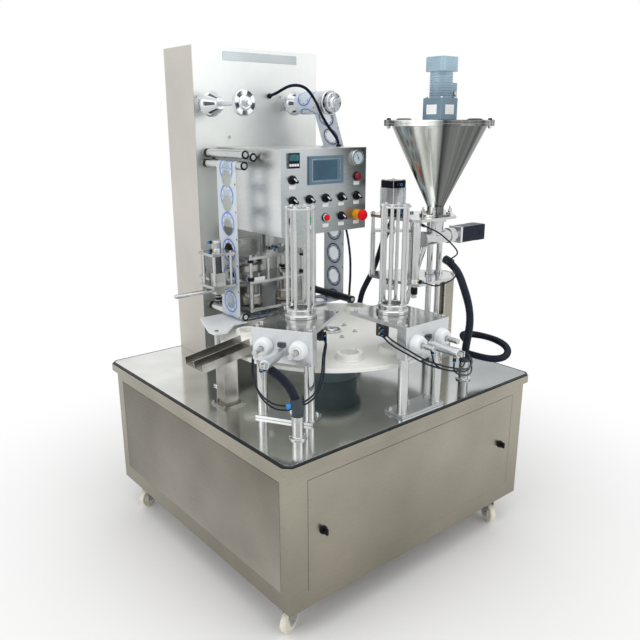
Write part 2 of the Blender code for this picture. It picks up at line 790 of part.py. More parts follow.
def make_tower():
    """A folded sheet housing, open below, with the bearing bosses of the rollers and reels."""
    back = TOWER_FACE + TOWER_DEPTH
    low = table_top + SEAT_GAP
    shell = block("tower", (TOWER_LEFT, TOWER_FACE, low), (TOWER_RIGHT, back, tower_top))
    inside = block(
        "tower_inside",
        (TOWER_LEFT + TOWER_SHEET, TOWER_FACE + TOWER_SHEET, low - CUT_PAST),
        (TOWER_RIGHT - TOWER_SHEET, back - TOWER_SHEET, tower_top - TOWER_SHEET),
    )
    joins = [shell]
    cuts = [inside]
    for x, z in (right_roller, left_roller, pull_roller_low, pull_roller_high, idler_roller):
        start, end = (x, TOWER_FACE - SEAT_GAP - 0.001, z), (x, TOWER_FACE + 0.020, z)
        cuts.append(rod("bearing_seat", ROLLER_SHAFT_RADIUS + RUNNING_GAP, start, end))
    for x, z in (rewind_axis, supply_axis):
        start, end = (x, TOWER_FACE - REEL_BOSS, z), (x, TOWER_FACE + 0.001, z)
        joins.append(rod("reel_boss", REEL_BOSS_RADIUS, start, end))
        start, end = (x, TOWER_FACE - REEL_BOSS - CUT_PAST, z), (x, TOWER_FACE + 0.020, z)
        cuts.append(rod("reel_bearing", REEL_SHAFT_RADIUS + RUNNING_GAP, start, end))
    x, z = guide_bar
    bar_start = (x, FILM_LOW_EDGE - 0.020, z)
    joins.append(rod("guide_bar", GUIDE_BAR_RADIUS, bar_start, (x, TOWER_FACE + 0.001, z)))
    node("tower", STAINLESS, joins, cuts)


# Control box


box_bottom = table_top + BOX_OVER_TABLE
box_top = box_bottom + BOX_HEIGHT


def control_place(column, row):
    """The middle of a switch in the grid on the box's face."""
    return CONTROL_COLUMN_FIRST + CONTROL_COLUMN_PITCH * column, box_bottom + CONTROL_ROWS[row]


SELECTOR_PLACES = [(0, 2), (0, 1), (1, 1), (2, 1), (3, 1), (4, 1), (3, 0)]
BUTTON_PLACES = [(0, 0), (1, 0), (2, 0)]
STOP_PLACE = (4, 0)
LAMP_PLACE = (4, 2)


def make_control_box():
    back = TOWER_FACE - SEAT_GAP
    face = BOX_FRONT
    behind = face + BOX_SHEET + 0.004
    cuts = []
    for column, row in (*SELECTOR_PLACES, *BUTTON_PLACES, STOP_PLACE):
        x, z = control_place(column, row)
        start = (x, face - 0.060, z)
        cuts.append(rod("control_hole", CONTROL_HOLE_RADIUS, start, (x, behind, z)))
    x, z = SCREEN_X, box_top - SCREEN_BELOW_TOP
    half_x, half_z = SCREEN_WIDTH / 2 - SCREEN_REBATE, SCREEN_HEIGHT / 2 - SCREEN_REBATE
    low, high = (x - half_x, face - 0.01, z - half_z), (x + half_x, behind, z + half_z)
    cuts.append(block("screen_cutout", low, high))
    front = block(
        "front",
        (BOX_LEFT - FRONT_EDGE, face, box_bottom - FRONT_EDGE),
        (BOX_RIGHT + FRONT_EDGE, face + BOX_SHEET, box_top + FRONT_EDGE),
    )
    outer = rectangle((BOX_LEFT, box_bottom), (BOX_RIGHT, box_top))
    inner = rectangle(
        (BOX_LEFT + BOX_SHEET, box_bottom + BOX_SHEET), (BOX_RIGHT - BOX_SHEET, box_top - BOX_SHEET)
    )
    walls = plate("control_box", outer, -back, -face - BOX_SHEET / 2, [inner])
    walls.data.transform(Matrix.Rotation(math.radians(90), 4, "X"))
    joins = [walls, front]
    bezel_outer = BUTTON_RADIUS + 0.0035
    for column, row in BUTTON_PLACES:
        x, z = control_place(column, row)
        start, end = (x, face + 0.001, z), (x, face - 0.008, z)
        bezel_inner = BUTTON_RADIUS + RUNNING_GAP
        joins.append(ring("button_bezel", bezel_outer, bezel_inner, start, end))
    x, z = control_place(*STOP_PLACE)
    start, end = (x, face + 0.001, z), (x, face - STOP_COLLAR_HEIGHT, z)
    joins.append(ring("stop_collar", STOP_COLLAR_RADIUS, STEM_RADIUS + 2 * RUNNING_GAP, start, end))
    x, z = control_place(*LAMP_PLACE)
    joins.append(rod("lamp", LAMP_BEZEL_RADIUS, (x, face + 0.001, z), (x, face - 0.005, z)))
    start, end = (x, face - 0.003, z), (x, face - 0.017, z)
    joins.append(rod("lamp_dome", LAMP_RADIUS, start, end, LAMP_RADIUS - 0.0025))
    x, z = GAUGE_X, box_top - GAUGE_BELOW_TOP
    joins.append(rod("gauge", GAUGE_RADIUS, (x, face + 0.001, z), (x, face - GAUGE_DEPTH, z)))
    x, z = CONTROLLER_X, box_top - CONTROLLER_BELOW_TOP
    half = CONTROLLER_SIDE / 2
    low, high = (x - half, face - 0.005, z - half), (x + half, face + 0.001, z + half)
    joins.append(block("controller", low, high))
    node("control_box", STAINLESS, joins, cuts)

    x, z = SCREEN_X, box_top - SCREEN_BELOW_TOP
    half_x, half_z = SCREEN_WIDTH / 2, SCREEN_HEIGHT / 2
    front = face - SEAT_GAP
    low, high = (x - half_x, front - 0.005, z - half_z), (x + half_x, front, z + half_z)
    bezel = block("touch_screen", low, high)
    half_x -= SCREEN_REBATE + 0.0005
    half_z -= SCREEN_REBATE + 0.0005
    low, high = (x - half_x, front - 0.001, z - half_z), (x + half_x, face + 0.030, z + half_z)
    body = block("screen_body", low, high)
    node("touch_screen", SCREEN, [bezel, body])


def make_controls():
    face = BOX_FRONT - SEAT_GAP
    for number, (column, row) in enumerate(SELECTOR_PLACES, 1):
        x, z = control_place(column, row)
        skirt = rod("selector", SELECTOR_RADIUS, (x, face, z), (x, face - 0.009, z))
        grip = block(
            "grip",
            (x - SELECTOR_RADIUS + 0.0013, face - 0.0205, z - 0.0045),
            (x + SELECTOR_RADIUS - 0.0013, face - 0.0078, z + 0.0045),
        )
        stem = rod("stem", STEM_RADIUS, (x, face - 0.002, z), (x, face + 0.028, z))
        node(f"selector_{number}", BLACK, [skirt, grip, stem], pivot=(x, face, z))
    for number, (column, row) in enumerate(BUTTON_PLACES, 1):
        x, z = control_place(column, row)
        start, end = face - BUTTON_TRAVEL - 0.0012, face - 0.0125
        head = rod("button", BUTTON_RADIUS, (x, start, z), (x, end, z))
        stem = rod("stem", STEM_RADIUS, (x, start - 0.002, z), (x, face + 0.024, z))
        finish = GREEN if number == 2 else RED
        node(f"push_button_{number}", finish, [head, stem], pivot=(x, start, z))
    x, z = control_place(*STOP_PLACE)
    base = face - STOP_COLLAR_HEIGHT - STOP_TRAVEL - 0.001
    mushroom = turned(
        "emergency_stop",
        [
            (0.0, 0.020),
            (0.012, 0.019),
            (0.018, 0.015),
            (STOP_RADIUS, 0.009),
            (STOP_RADIUS - 0.001, 0.002),
            (STOP_RADIUS - 0.006, 0.0),
            (0.0, 0.0),
        ],
        (x, base, z),
        (0, -1, 0),
        16,
    )
    stem = rod("stem", STEM_RADIUS, (x, base - 0.002, z), (x, face + 0.024, z))
    node("emergency_stop", RED, [mushroom, stem])


# Film rollers, reels and film


def make_roller(name, finish, place, back=TOWER_FACE - 0.012, front=ROLLER_END):
    x, z = place
    tube = rod(name, ROLLER_RADIUS, (x, back, z), (x, front, z))
    collar = rod("collar", ROLLER_COLLAR, (x, back + 0.004, z), (x, back - 0.004, z))
    shaft = rod("shaft", ROLLER_SHAFT_RADIUS, (x, TOWER_FACE + 0.012, z), (x, back - 0.01, z))
    end = rod("end", 0.009, (x, front + 0.001, z), (x, front - 0.003, z))
    node(name, finish, [tube, collar, shaft, end], pivot=(x, back, z))


def make_rollers():
    make_roller("film_roller_1", STAINLESS, pull_roller_high)
    make_roller("film_roller_2", STAINLESS, pull_roller_low)
    make_roller("film_roller_3", STAINLESS, idler_roller)
    make_roller("film_roller_4", STAINLESS, left_roller, front=ROLLER_END + 0.020)
    make_roller("film_roller_5", STAINLESS, right_roller, back=0.300, front=0.060)


def make_reel(name, place, cones, film_roll):
    """A shaft with a pair of cones facing each other, which centre a film core."""
    x, z = place
    tip = 0.058
    shaft = rod(name, REEL_SHAFT_RADIUS, (x, TOWER_FACE + REEL_BOSS, z), (x, tip, z))
    joins = [shaft]
    for y, facing in cones:
        inner = y + facing * CONE_LENGTH
        joins.append(rod("cone", CONE_LARGE_RADIUS, (x, y, z), (x, inner, z), CONE_SMALL_RADIUS))
    joins.append(rod("nut", 0.014, (x, tip + 0.012, z), (x, tip - 0.004, z)))
    if film_roll:
        start, end = (x, FILM_LOW_EDGE, z), (x, FILM_LOW_EDGE + FILM_WIDTH, z)
        joins.append(rod("film_roll", FILM_ROLL_RADIUS, start, end))
        joins.append(rod("handwheel", 0.036, (x, tip + 0.010, z), (x, tip + 0.022, z)))
    node(name, ALUMINIUM, joins, pivot=(x, TOWER_FACE, z))


def arc_round(place, radius, start, end, steps):
    """Points round a roller, from one angle to another in degrees."""
    x, z = place
    turns = [math.radians(start + (end - start) * i / steps) for i in range(steps + 1)]
    return [(x + radius * math.cos(a), z + radius * math.sin(a)) for a in turns]


def make_film():
    """The web: off the supply roll, over the guide bar, along the film table, up to the nip."""
    off = SEAT_GAP + FILM_THICKNESS / 2
    rise = supply_axis[1] - guide_bar[1]
    run = guide_bar[0] - supply_axis[0]
    difference = FILM_ROLL_RADIUS - GUIDE_BAR_RADIUS
    slope = math.degrees(math.atan2(run, rise) - math.asin(difference / math.hypot(run, rise)))
    path = arc_round(supply_axis, FILM_ROLL_RADIUS + off, slope + 14, slope, 2)
    path += arc_round(guide_bar, GUIDE_BAR_RADIUS + off, slope, 0, 3)
    path += arc_round(right_roller, ROLLER_RADIUS + off, 0, -90, 5)
    path += arc_round(left_roller, ROLLER_RADIUS + off, -90, -180, 5)
    path += arc_round(pull_roller_low, ROLLER_RADIUS + off, 180, 80, 5)
    mesh = bpy.data.meshes.new("film_web")
    near, far = FILM_LOW_EDGE, FILM_LOW_EDGE + FILM_WIDTH
    points = [(x, near, z) for x, z in path] + [(x, far, z) for x, z in path]
    count = len(path)
    faces = [(i, i + 1, count + i + 1, count + i) for i in range(count - 1)]
    mesh.from_pydata(points, [], faces)
    web = helper("film_web", mesh)
    wall = web.modifiers.new("Thickness", "SOLIDIFY")
    wall.thickness = FILM_THICKNESS
    wall.offset = 0.0
    holes = []
    middle = (near + far) / 2
    left = left_roller[0] - ROLLER_RADIUS
    top = pull_roller_low[1] - FILM_HOLE_PITCH * 0.55
    count = int((top - left_roller[1]) / FILM_HOLE_PITCH)
    for step in range(count):
        z = top - FILM_HOLE_PITCH * step
        start, end = (left - 0.02, middle, z), (left + 0.02, middle, z)
        holes.append(rod("film_hole", FILM_HOLE_RADIUS, start, end))
    node("film_web", FILM, [web], holes)


# Capsule dispensers


def make_dispenser(letter, angle):
    """Posts, guide head, magazine of rods and the pusher that parts the lowest capsule."""
    x, y = on_pitch_circle(angle)
    rig = rig_at(f"dispenser_{letter}_station", (x, y, 0.0), angle)
    half = HEAD_WIDTH / 2
    plate_low = head_top - HEAD_PLATE
    low = table_top + SEAT_GAP
    foot_half = FOOT_WIDTH / 2
    foot = block(
        "foot", (FOOT_INNER, -foot_half, low), (FOOT_OUTER, foot_half, low + FOOT_THICKNESS)
    )
    joins = [foot]
    for side in (-1, 1):
        py = side * POST_SPACING / 2
        start, end = (POST_OFFSET, py, low + 0.001), (POST_OFFSET, py, head_bottom + 0.01)
        joins.append(rod("post", POST_RADIUS, start, end))
        bx, by = FOOT_INNER + 0.016, side * (foot_half - 0.012)
        joins.append(rod("bolt", 0.007, (bx, by, low + 0.001), (bx, by, low + 0.016)))
    front_inner = HEAD_OUTER - HEAD_FRONT
    joins.append(
        block("front", (front_inner, -half, head_bottom), (HEAD_OUTER, half, plate_low + 0.001))
    )
    joins.append(block("top_plate", (HEAD_INNER, -half, plate_low), (HEAD_OUTER, half, head_top)))
    start, end = (0, 0, plate_low - CUT_PAST), (0, 0, head_top + CUT_PAST)
    cuts = [rod("drop_hole", MAGAZINE_BORE, start, end)]
    boss_end = HEAD_OUTER + BOSS_LENGTH
    for side in (-1, 1):
        ry = side * GUIDE_ROD_SPACING / 2
        z = guide_rod_height
        joins.append(rod("boss", BOSS_RADIUS, (HEAD_OUTER - 0.001, ry, z), (boss_end, ry, z)))
        start, end = (front_inner - 0.01, ry, z), (boss_end + 0.01, ry, z)
        cuts.append(rod("guide_bore", GUIDE_ROD_RADIUS + RUNNING_GAP, start, end))
    height = guide_rod_height - CYLINDER_BELOW_RODS
    cylinder_end = HEAD_OUTER + CYLINDER_LENGTH
    joins.append(
        rod("cylinder", CYLINDER_RADIUS, (HEAD_OUTER - 0.001, 0, height), (cylinder_end, 0, height))
    )
    clevis_low = (cylinder_end - 0.002, -CLEVIS_HALF, height - CLEVIS_HALF)
    clevis_high = (cylinder_end + CLEVIS_LENGTH, CLEVIS_HALF, height + CLEVIS_HALF)
    joins.append(block("clevis", clevis_low, clevis_high))
    start, end = (front_inner - 0.01, 0, height), (HEAD_OUTER + PUSHER_TRAVEL + 0.02, 0, height)
    cuts.append(rod("piston_bore", PISTON_RADIUS + RUNNING_GAP, start, end))
    node(f"dispenser_{letter}_frame", DELRIN, joins, cuts, rig=rig)

    slide_low, slide_high = plate_low - 0.014, plate_low - 0.002
    bar_low, bar_high = guide_rod_height - 0.014, slide_high - 0.001
    bar_outer = front_inner - 0.004
    bar_inner = bar_outer - 0.014
    rod_half = GUIDE_ROD_SPACING / 2
    bar_half = rod_half + 0.012
    bar = block("bar", (bar_inner, -bar_half, bar_low), (bar_outer, bar_half, bar_high))
    slide = block("slide", (0.034, -0.030, slide_low), (bar_outer - 0.001, 0.030, slide_high))
    rods = []
    reach = boss_end + GUIDE_ROD_REACH
    for side in (-1, 1):
        ry, z = side * rod_half, guide_rod_height
        start, end = (bar_outer - 0.002, ry, z), (reach, ry, z)
        rods.append(rod("guide_rod", GUIDE_ROD_RADIUS, start, end))
    start, end = (bar_outer - 0.002, 0, height), (HEAD_OUTER + 0.015, 0, height)
    piston = rod("piston", PISTON_RADIUS, start, end)
    node(f"dispenser_{letter}_pusher", ALUMINIUM, [bar, slide, *rods, piston], rig=rig)

    base = head_top + SEAT_GAP
    start, end = (0, 0, base), (0, 0, base + MAGAZINE_FLANGE)
    flange = ring("flange", MAGAZINE_FLANGE_RADIUS, MAGAZINE_BORE, start, end)
    top = ring(
        "top_ring",
        MAGAZINE_ROD_CIRCLE + 0.009,
        MAGAZINE_BORE,
        (0, 0, magazine_top - MAGAZINE_RING),
        (0, 0, magazine_top),
    )
    joins = [flange, top]
    for step in range(MAGAZINE_RODS):
        turn = 2 * math.pi * step / MAGAZINE_RODS
        rx, ry = MAGAZINE_ROD_CIRCLE * math.cos(turn), MAGAZINE_ROD_CIRCLE * math.sin(turn)
        start, end = (rx, ry, base + 0.004), (rx, ry, magazine_top + 0.006)
        joins.append(rod("magazine_rod", MAGAZINE_ROD_RADIUS, start, end))
    node(f"dispenser_{letter}_magazine", ALUMINIUM, joins, rig=rig)


# Filler, press and tamper

PLATE_OUTLINE = [
    (0.222, -0.055),
    (0.255, -0.015),
    (0.360, -0.045),
    (0.480, -0.165),
    (0.480, -0.228),
    (0.425, -0.290),
    (0.238, -0.290),
    (0.222, -0.262),
]

spout_start = (SPOUT_START_X, HOPPER_AXIS[1], auger_height)
spout_end = (*SPOUT_TIP, nest_top + SPOUT_OVER_NESTS)


def where_spout_passes(height):
    """The spout's middle at a height, on the line between its two ends."""
    share = (spout_start[2] - height) / (spout_start[2] - spout_end[2])
    return tuple(a + (b - a) * share for a, b in zip(spout_start[:2], spout_end[:2]))


def make_filler_stand():
    """Two plates on two columns, the press cylinder, its guide rods, and the tamping cylinder."""
    upper_low = upper_plate_top - FILLER_PLATE
    lower_low = lower_plate_top - FILLER_PLATE
    hopper_hole = circle(HOPPER_AXIS, HOPPER_THROAT_RADIUS + 0.002)
    press_hole = circle(PRESS_AXIS, PRESS_ROD_RADIUS + RUNNING_GAP)
    upper = plate("upper", PLATE_OUTLINE, upper_low, upper_plate_top, [hopper_hole])
    spout_hole = circle(where_spout_passes(lower_plate_top - FILLER_PLATE / 2), SPOUT_RADIUS + 0.009)
    lower = plate("lower", PLATE_OUTLINE, lower_low, lower_plate_top, [press_hole, spout_hole])
    base_low = table_top + SEAT_GAP
    base = block("base", (0.388, -0.225, base_low), (0.535, -0.160, base_low + 0.008))
    joins = [upper, lower, base]
    for x, y in COLUMNS:
        start, end = (x, y, base_low + 0.001), (x, y, upper_plate_top - 0.001)
        joins.append(rod("column", COLUMN_RADIUS, start, end))
    box_low, box_high = (0.470, -0.218, base_low + 0.001), (0.523, -0.168, lower_plate_top - 0.006)
    joins.append(block("column_box", box_low, box_high))
    for x, y in PRESS_GUIDES:
        start, end = (x, y, lower_low - 0.006), (x, y, upper_plate_top + 0.006)
        joins.append(rod("guide", PRESS_GUIDE_RADIUS, start, end))
    x, y = PRESS_AXIS
    half = PRESS_SIDE / 2
    z0, z1, z2, z3 = (upper_plate_top + h for h in (-0.001, 0.026, 0.094, 0.121))
    for name, low, high, reach in (
        ("press_cap_low", z0, z1, half),
        ("press_body", z1 - 0.001, z2 + 0.001, half - 0.004),
        ("press_cap_top", z2, z3, half),
    ):
        joins.append(block(name, (x - reach, y - reach, low), (x + reach, y + reach, high)))
    start, end = (x, y, upper_low - CUT_PAST), (x, y, z2)
    cuts = [rod("press_bore", PRESS_ROD_RADIUS + RUNNING_GAP, start, end)]
    x, y = TAMPER_AXIS
    top = upper_low + 0.001
    start, end = (x, y, lower_low - 0.002), (x, y, top)
    joins.append(rod("tamper_cylinder", TAMPER_CYLINDER_RADIUS, start, end))
    start, end = (x, y, lower_low - 0.02), (x, y, lower_low + 0.1)
    cuts.append(rod("tamper_bore", TAMPER_ROD_RADIUS + RUNNING_GAP, start, end))
    node("filler_stand", ALUMINIUM, joins, cuts)

    x, y = TAMPER_AXIS
    tip_top = lower_low - 0.004
    tip_low = tip_top - 0.040
    stem = rod("tamper", TAMPER_ROD_RADIUS, (x, y, tip_low), (x, y, lower_low + 0.04))
    tip = rod("tip", TAMPER_TIP_RADIUS, (x, y, tip_low + 0.010), (x, y, tip_top))
    foot = rod("foot", 0.008, (x, y, tip_low - 0.006), (x, y, tip_low + 0.011))
    node("tamper", BLACK, [stem, tip, foot], pivot=(x, y, tip_top))

    x, y = PRESS_AXIS
    bridge_top = upper_low - 0.050
    bridge_low = bridge_top - 0.008
    holes = [circle(place, PRESS_GUIDE_RADIUS + RUNNING_GAP) for place in PRESS_GUIDES]
    outline = [
        (0.228, -0.052),
        (0.256, -0.022),
        (0.372, -0.124),
        (0.372, -0.158),
        (0.345, -0.158),
    ]
    bridge = plate("press_head", outline, bridge_low, bridge_top, holes)
    pad_low = lower_low - 0.050
    shaft = rod("shaft", PRESS_ROD_RADIUS, (x, y, pad_low + 0.001), (x, y, upper_plate_top + 0.010))
    pad = rod("pad", PRESS_PAD_RADIUS, (x, y, pad_low), (x, y, pad_low + 0.022))
    node("press_head", ALUMINIUM, [bridge, shaft, pad], pivot=(x, y, bridge_top))


# Hopper, lid, mixer and auger

EAR_DIRECTION = Vector((0.765, -0.644, 0.0)).normalized()


def make_hopper():
    x, y = HOPPER_AXIS
    seat = upper_plate_top + SEAT_GAP
    wall = HOPPER_WALL
    neck = HOPPER_THROAT_RADIUS
    rim = HOPPER_RIM_RADIUS
    profile = [
        (rim - wall, hopper_rim),
        (rim + HOPPER_RIM_FLANGE, hopper_rim),
        (rim + HOPPER_RIM_FLANGE, hopper_rim - HOPPER_FLANGE),
        (rim, hopper_rim - HOPPER_FLANGE),
        (neck, hopper_throat),
        (neck, seat + HOPPER_SEAT_FLANGE),
        (neck + HOPPER_SEAT_RIM, seat + HOPPER_SEAT_FLANGE),
        (neck + HOPPER_SEAT_RIM, seat),
        (neck - wall, seat),
        (neck - wall, hopper_throat + 0.001),
    ]
    cone = turned("hopper", profile, (x, y, 0.0), (0, 0, 1), 28, closed=True)
    joins = [cone]
    for side in (-1, 1):
        centre = Vector((x, y, 0.0)) + side * EAR_DIRECTION * (LID_EAR_REACH - 0.016)
        start = (centre.x, centre.y, hopper_rim - HOPPER_FLANGE)
        joins.append(rod("ear", 0.016, start, (centre.x, centre.y, hopper_rim)))
    node("hopper", POLISHED, joins)

    base = hopper_rim + SEAT_GAP
    top = base + LID_THICKNESS
    lid = plate(
        "hopper_lid",
        circle(HOPPER_AXIS, HOPPER_RIM_RADIUS + HOPPER_RIM_FLANGE),
        base,
        top,
        [circle(HOPPER_AXIS, MIXER_SHAFT_RADIUS + 0.002)],
    )
    joins = [lid]
    for side in (-1, 1):
        ear = Vector((x, y, 0.0)) + side * EAR_DIRECTION * (LID_EAR_REACH - 0.016)
        joins.append(rod("ear", 0.016, (ear.x, ear.y, base), (ear.x, ear.y, top)))
        knob = Vector((x, y, 0.0)) + side * EAR_DIRECTION * 0.124
        start = (knob.x, knob.y, top - 0.001)
        joins.append(rod("knob", 0.027, start, (knob.x, knob.y, top + 0.005), 0.020))
    node("hopper_lid", POLISHED, joins)

    z0 = top + SEAT_GAP
    z1 = z0 + MOTOR_GEARBOX
    z2 = z1 + MOTOR_BODY
    z3 = z2 + MOTOR_CAP
    half = MOTOR_SIDE / 2
    outline = rectangle((x - half, y - half), (x + half, y + half), 0.005)
    gearbox = plate("mixer_motor", outline, z0, z1)
    body = rod("body", MOTOR_RADIUS, (x, y, z1 - 0.001), (x, y, z2 + 0.001))
    half -= 0.001
    outline = rectangle((x - half, y - half), (x + half, y + half), 0.016)
    cap = plate("cap", outline, z2, z3)
    terminal = block("terminal", (x + 0.030, y - 0.026, z1 - 0.001), (x + 0.056, y + 0.012, z1 + 0.050))
    node("mixer_motor", MOTOR_GREY, [gearbox, body, cap, terminal])

    shaft_low = hopper_throat + 0.020
    shaft = rod("agitator", MIXER_SHAFT_RADIUS, (x, y, shaft_low), (x, y, top))
    arms = []
    clear = 0.010
    for side, (low_share, high_share) in ((1, (0.22, 0.72)), (-1, (0.12, 0.50))):
        span = hopper_rim - hopper_throat
        reach = [neck + (rim - neck) * share - wall - clear for share in (low_share, high_share)]
        heights = [hopper_throat + span * share for share in (low_share, high_share)]
        blade = plate(
            "blade",
            [
                (side * (reach[0] - 0.010), heights[0]),
                (side * reach[0], heights[0]),
                (side * reach[1], heights[1]),
                (side * (reach[1] - 0.010), heights[1]),
            ],
            -0.004,
            0.004,
        )
        upright = Matrix.Rotation(math.radians(90), 4, "X")
        blade.data.transform(Matrix.Translation((x, y, 0)) @ upright)
        arms.append(blade)
        for share in (0, 1):
            arm_end = (x + side * (reach[share] - 0.004), y, heights[share] + (0.004, -0.004)[share])
            arms.append(rod("arm", 0.0045, (x, y, arm_end[2]), arm_end))
    node("agitator", STAINLESS, [shaft, *arms], pivot=(x, y, shaft_low))


def make_auger():
    x, y = HOPPER_AXIS
    z = auger_height
    barrel = rod("auger_drive", AUGER_RADIUS, (AUGER_START, y, z), (AUGER_END, y, z))
    inlet_top = upper_plate_top - FILLER_PLATE - SEAT_GAP
    inlet = rod("inlet", HOPPER_THROAT_RADIUS - 0.002, (x, y, z), (x, y, inlet_top))
    inlet_flange = (x, y, inlet_top - 0.008), (x, y, inlet_top)
    joins = [barrel, inlet, rod("inlet_flange", HOPPER_THROAT_RADIUS + 0.012, *inlet_flange)]
    start, end = (AUGER_START - 0.006, y, z), (AUGER_START + 0.006, y, z)
    joins.append(rod("end_cap", AUGER_RADIUS + 0.004, start, end))
    joins.append(rod("flange", 0.028, (AUGER_END - 0.002, y, z), (AUGER_END + 0.014, y, z)))
    joins.append(rod("flange", 0.0265, (AUGER_END + 0.013, y, z), (AUGER_END + 0.030, y, z)))
    joins.append(rod("coupling", 0.022, (AUGER_END + 0.029, y, z), (SERVO_START + 0.001, y, z)))
    half = SERVO_SIDE / 2
    joins.append(block("servo", (SERVO_START, y - half, z - half), (SERVO_END, y + half, z + half)))
    joins.append(rod("spout", SPOUT_RADIUS, spout_start, spout_end, SPOUT_TIP_RADIUS))
    start, end = (x, y, z + 0.01), (x, y, inlet_top + CUT_PAST)
    cuts = [rod("inlet_bore", HOPPER_THROAT_RADIUS - 0.006, start, end)]
    node("auger_drive", ALUMINIUM, joins, cuts)


# Sealing unit, coder and chute


def make_sealing_unit():
    table_low = film_table_top - FILM_TABLE
    back = TOWER_FACE - SEAT_GAP
    wall_front = back - 0.012
    left, right = -0.205, 0.080
    outline = [
        (-0.395, 0.060),
        (-0.352, 0.052),
        (-0.280, 0.118),
        (right, 0.118),
        (right, back),
        (left, back),
        (left, 0.268),
        (-0.330, 0.268),
        (-0.395, 0.102),
    ]
    holes = [circle(place, SEAL_HEAD_RADIUS + 0.003) for place in SEAL_STATIONS]
    table = plate("sealing_frame", outline, table_low, film_table_top, holes)
    base = table_top + SEAT_GAP
    post = rod("post", 0.008, (-0.378, 0.078, base), (-0.378, 0.078, table_low + 0.001))
    foot = rod("post_foot", 0.018, (-0.378, 0.078, base), (-0.378, 0.078, base + 0.006))
    low, high = (left, wall_front, table_low + 0.001), (right, back, seal_plate_high + 0.030)
    joins = [table, post, foot, block("wall_plate", low, high)]
    plate_near, plate_far = 0.122, wall_front + 0.001
    for low in (seal_plate_low, seal_plate_high - SEAL_PLATE):
        area = rectangle((left, plate_near), (right - 0.020, plate_far))
        gaps = holes if low == seal_plate_low else []
        joins.append(plate("seal_plate", area, low, low + SEAL_PLATE, gaps))
    for x in (left + 0.014, right - 0.034):
        for y in (plate_near + 0.012, 0.262):
            start, end = (x, y, seal_plate_low + 0.001), (x, y, seal_plate_high + 0.006)
            joins.append(rod("seal_column", SEAL_COLUMN_RADIUS, start, end))
    cx = (SEAL_STATIONS[0][0] + SEAL_STATIONS[1][0]) / 2
    cy = SEAL_STATIONS[0][1]
    low = (cx - 0.028, cy - 0.028, seal_plate_high - 0.001)
    high = (cx + 0.028, cy + 0.028, box_bottom - 0.004)
    joins.append(block("seal_cylinder", low, high))
    bore_end = seal_plate_high + 0.050
    start = (cx, cy, seal_plate_high - SEAL_PLATE - 0.01)
    cuts = [rod("seal_bore", PISTON_RADIUS + RUNNING_GAP, start, (cx, cy, bore_end))]
    node("sealing_frame", ALUMINIUM, joins, cuts)

    head_low = film_table_top + 0.003 + SEAL_TRAVEL + 0.003
    cross_low = head_low + 0.085
    columns = []
    for x in (left + 0.014, right - 0.034):
        for y in (plate_near + 0.012, 0.262):
            columns.append(circle((x, y), SEAL_COLUMN_RADIUS + RUNNING_GAP))
    area = rectangle((left + 0.003, plate_near + 0.002), (right - 0.023, 0.274))
    cross = plate("sealing_head", area, cross_low, cross_low + 0.010, columns)
    joins = [cross]
    for x, y in SEAL_STATIONS:
        joins.append(rod("ram", 0.010, (x, y, head_low + 0.020), (x, y, cross_low + 0.001)))
        joins.append(rod("heater", SEAL_HEAD_RADIUS, (x, y, head_low), (x, y, head_low + 0.024)))
    start, end = (cx, cy, cross_low + 0.009), (cx, cy, seal_plate_high + 0.012)
    joins.append(rod("piston", PISTON_RADIUS, start, end))
    node("sealing_head", ALUMINIUM, joins, pivot=(cx, cy, cross_low))


def make_coder():
    """The date coder beside the rising film: two plates on columns, cylinder, clamp, rod, knob."""
    right = film_plane_left - 0.007
    left = right - 0.092
    near, far = 0.140, 0.236
    low = nest_top + CODER_OVER_NESTS
    high = low + CODER_HEIGHT
    back = TOWER_FACE - SEAT_GAP
    base = plate("film_coder", rectangle((left, near), (right, far)), low, low + 0.010)
    arm = block("arm", (right - 0.026, far - 0.001, low), (right, back, low + 0.010))
    tab_left = TOWER_LEFT + 0.001
    tab = block("tab", (tab_left, back - 0.008, low - 0.020), (right, back, low + 0.045))
    top = plate("top", rectangle((left, near), (right, far)), high, high + 0.010)
    joins = [base, arm, tab, top]
    for x in (left + 0.012, right - 0.012):
        for y in (near + 0.012, far - 0.012):
            joins.append(rod("coder_column", 0.005, (x, y, low + 0.001), (x, y, high + 0.014)))
    cx, cy = (left + right) / 2, (near + far) / 2
    joins.append(rod("coder_cylinder", 0.016, (cx, cy, high + 0.009), (cx, cy, high + 0.050)))
    stamp_low, stamp_high = (cx - 0.022, cy - 0.022, low + 0.009), (cx + 0.022, cy + 0.022, low + 0.050)
    joins.append(block("stamp", stamp_low, stamp_high))
    joins.append(rod("ram", 0.006, (cx, cy, low + 0.045), (cx, cy, high + 0.001)))
    clamp_low, clamp_high = (cx - 0.018, cy - 0.016, low - 0.028), (cx + 0.018, cy + 0.016, low + 0.001)
    joins.append(block("clamp", clamp_low, clamp_high))
    rod_z = low - 0.013
    joins.append(rod("cross_rod", 0.007, (-0.470, cy, rod_z), (right - 0.004, cy, rod_z)))
    joins.append(rod("knob", 0.013, (cx, cy, low - 0.052), (cx, cy, low - 0.036)))
    joins.append(rod("knob_stem", 0.004, (cx, cy, low - 0.040), (cx, cy, low - 0.026)))
    node("film_coder", ALUMINIUM, joins)


CHUTE_INNER = -0.350
CHUTE_OUTER = -0.560
CHUTE_MIDDLE = -0.085
CHUTE_HALF_WIDTH = 0.054
CHUTE_WALL = 0.002
CHUTE_SIDE = 0.026
CHUTE_BELOW_NESTS = 0.006
CHUTE_FALL = 0.030
chute_high = nest_top - CHUTE_BELOW_NESTS
chute_low = chute_high - CHUTE_FALL


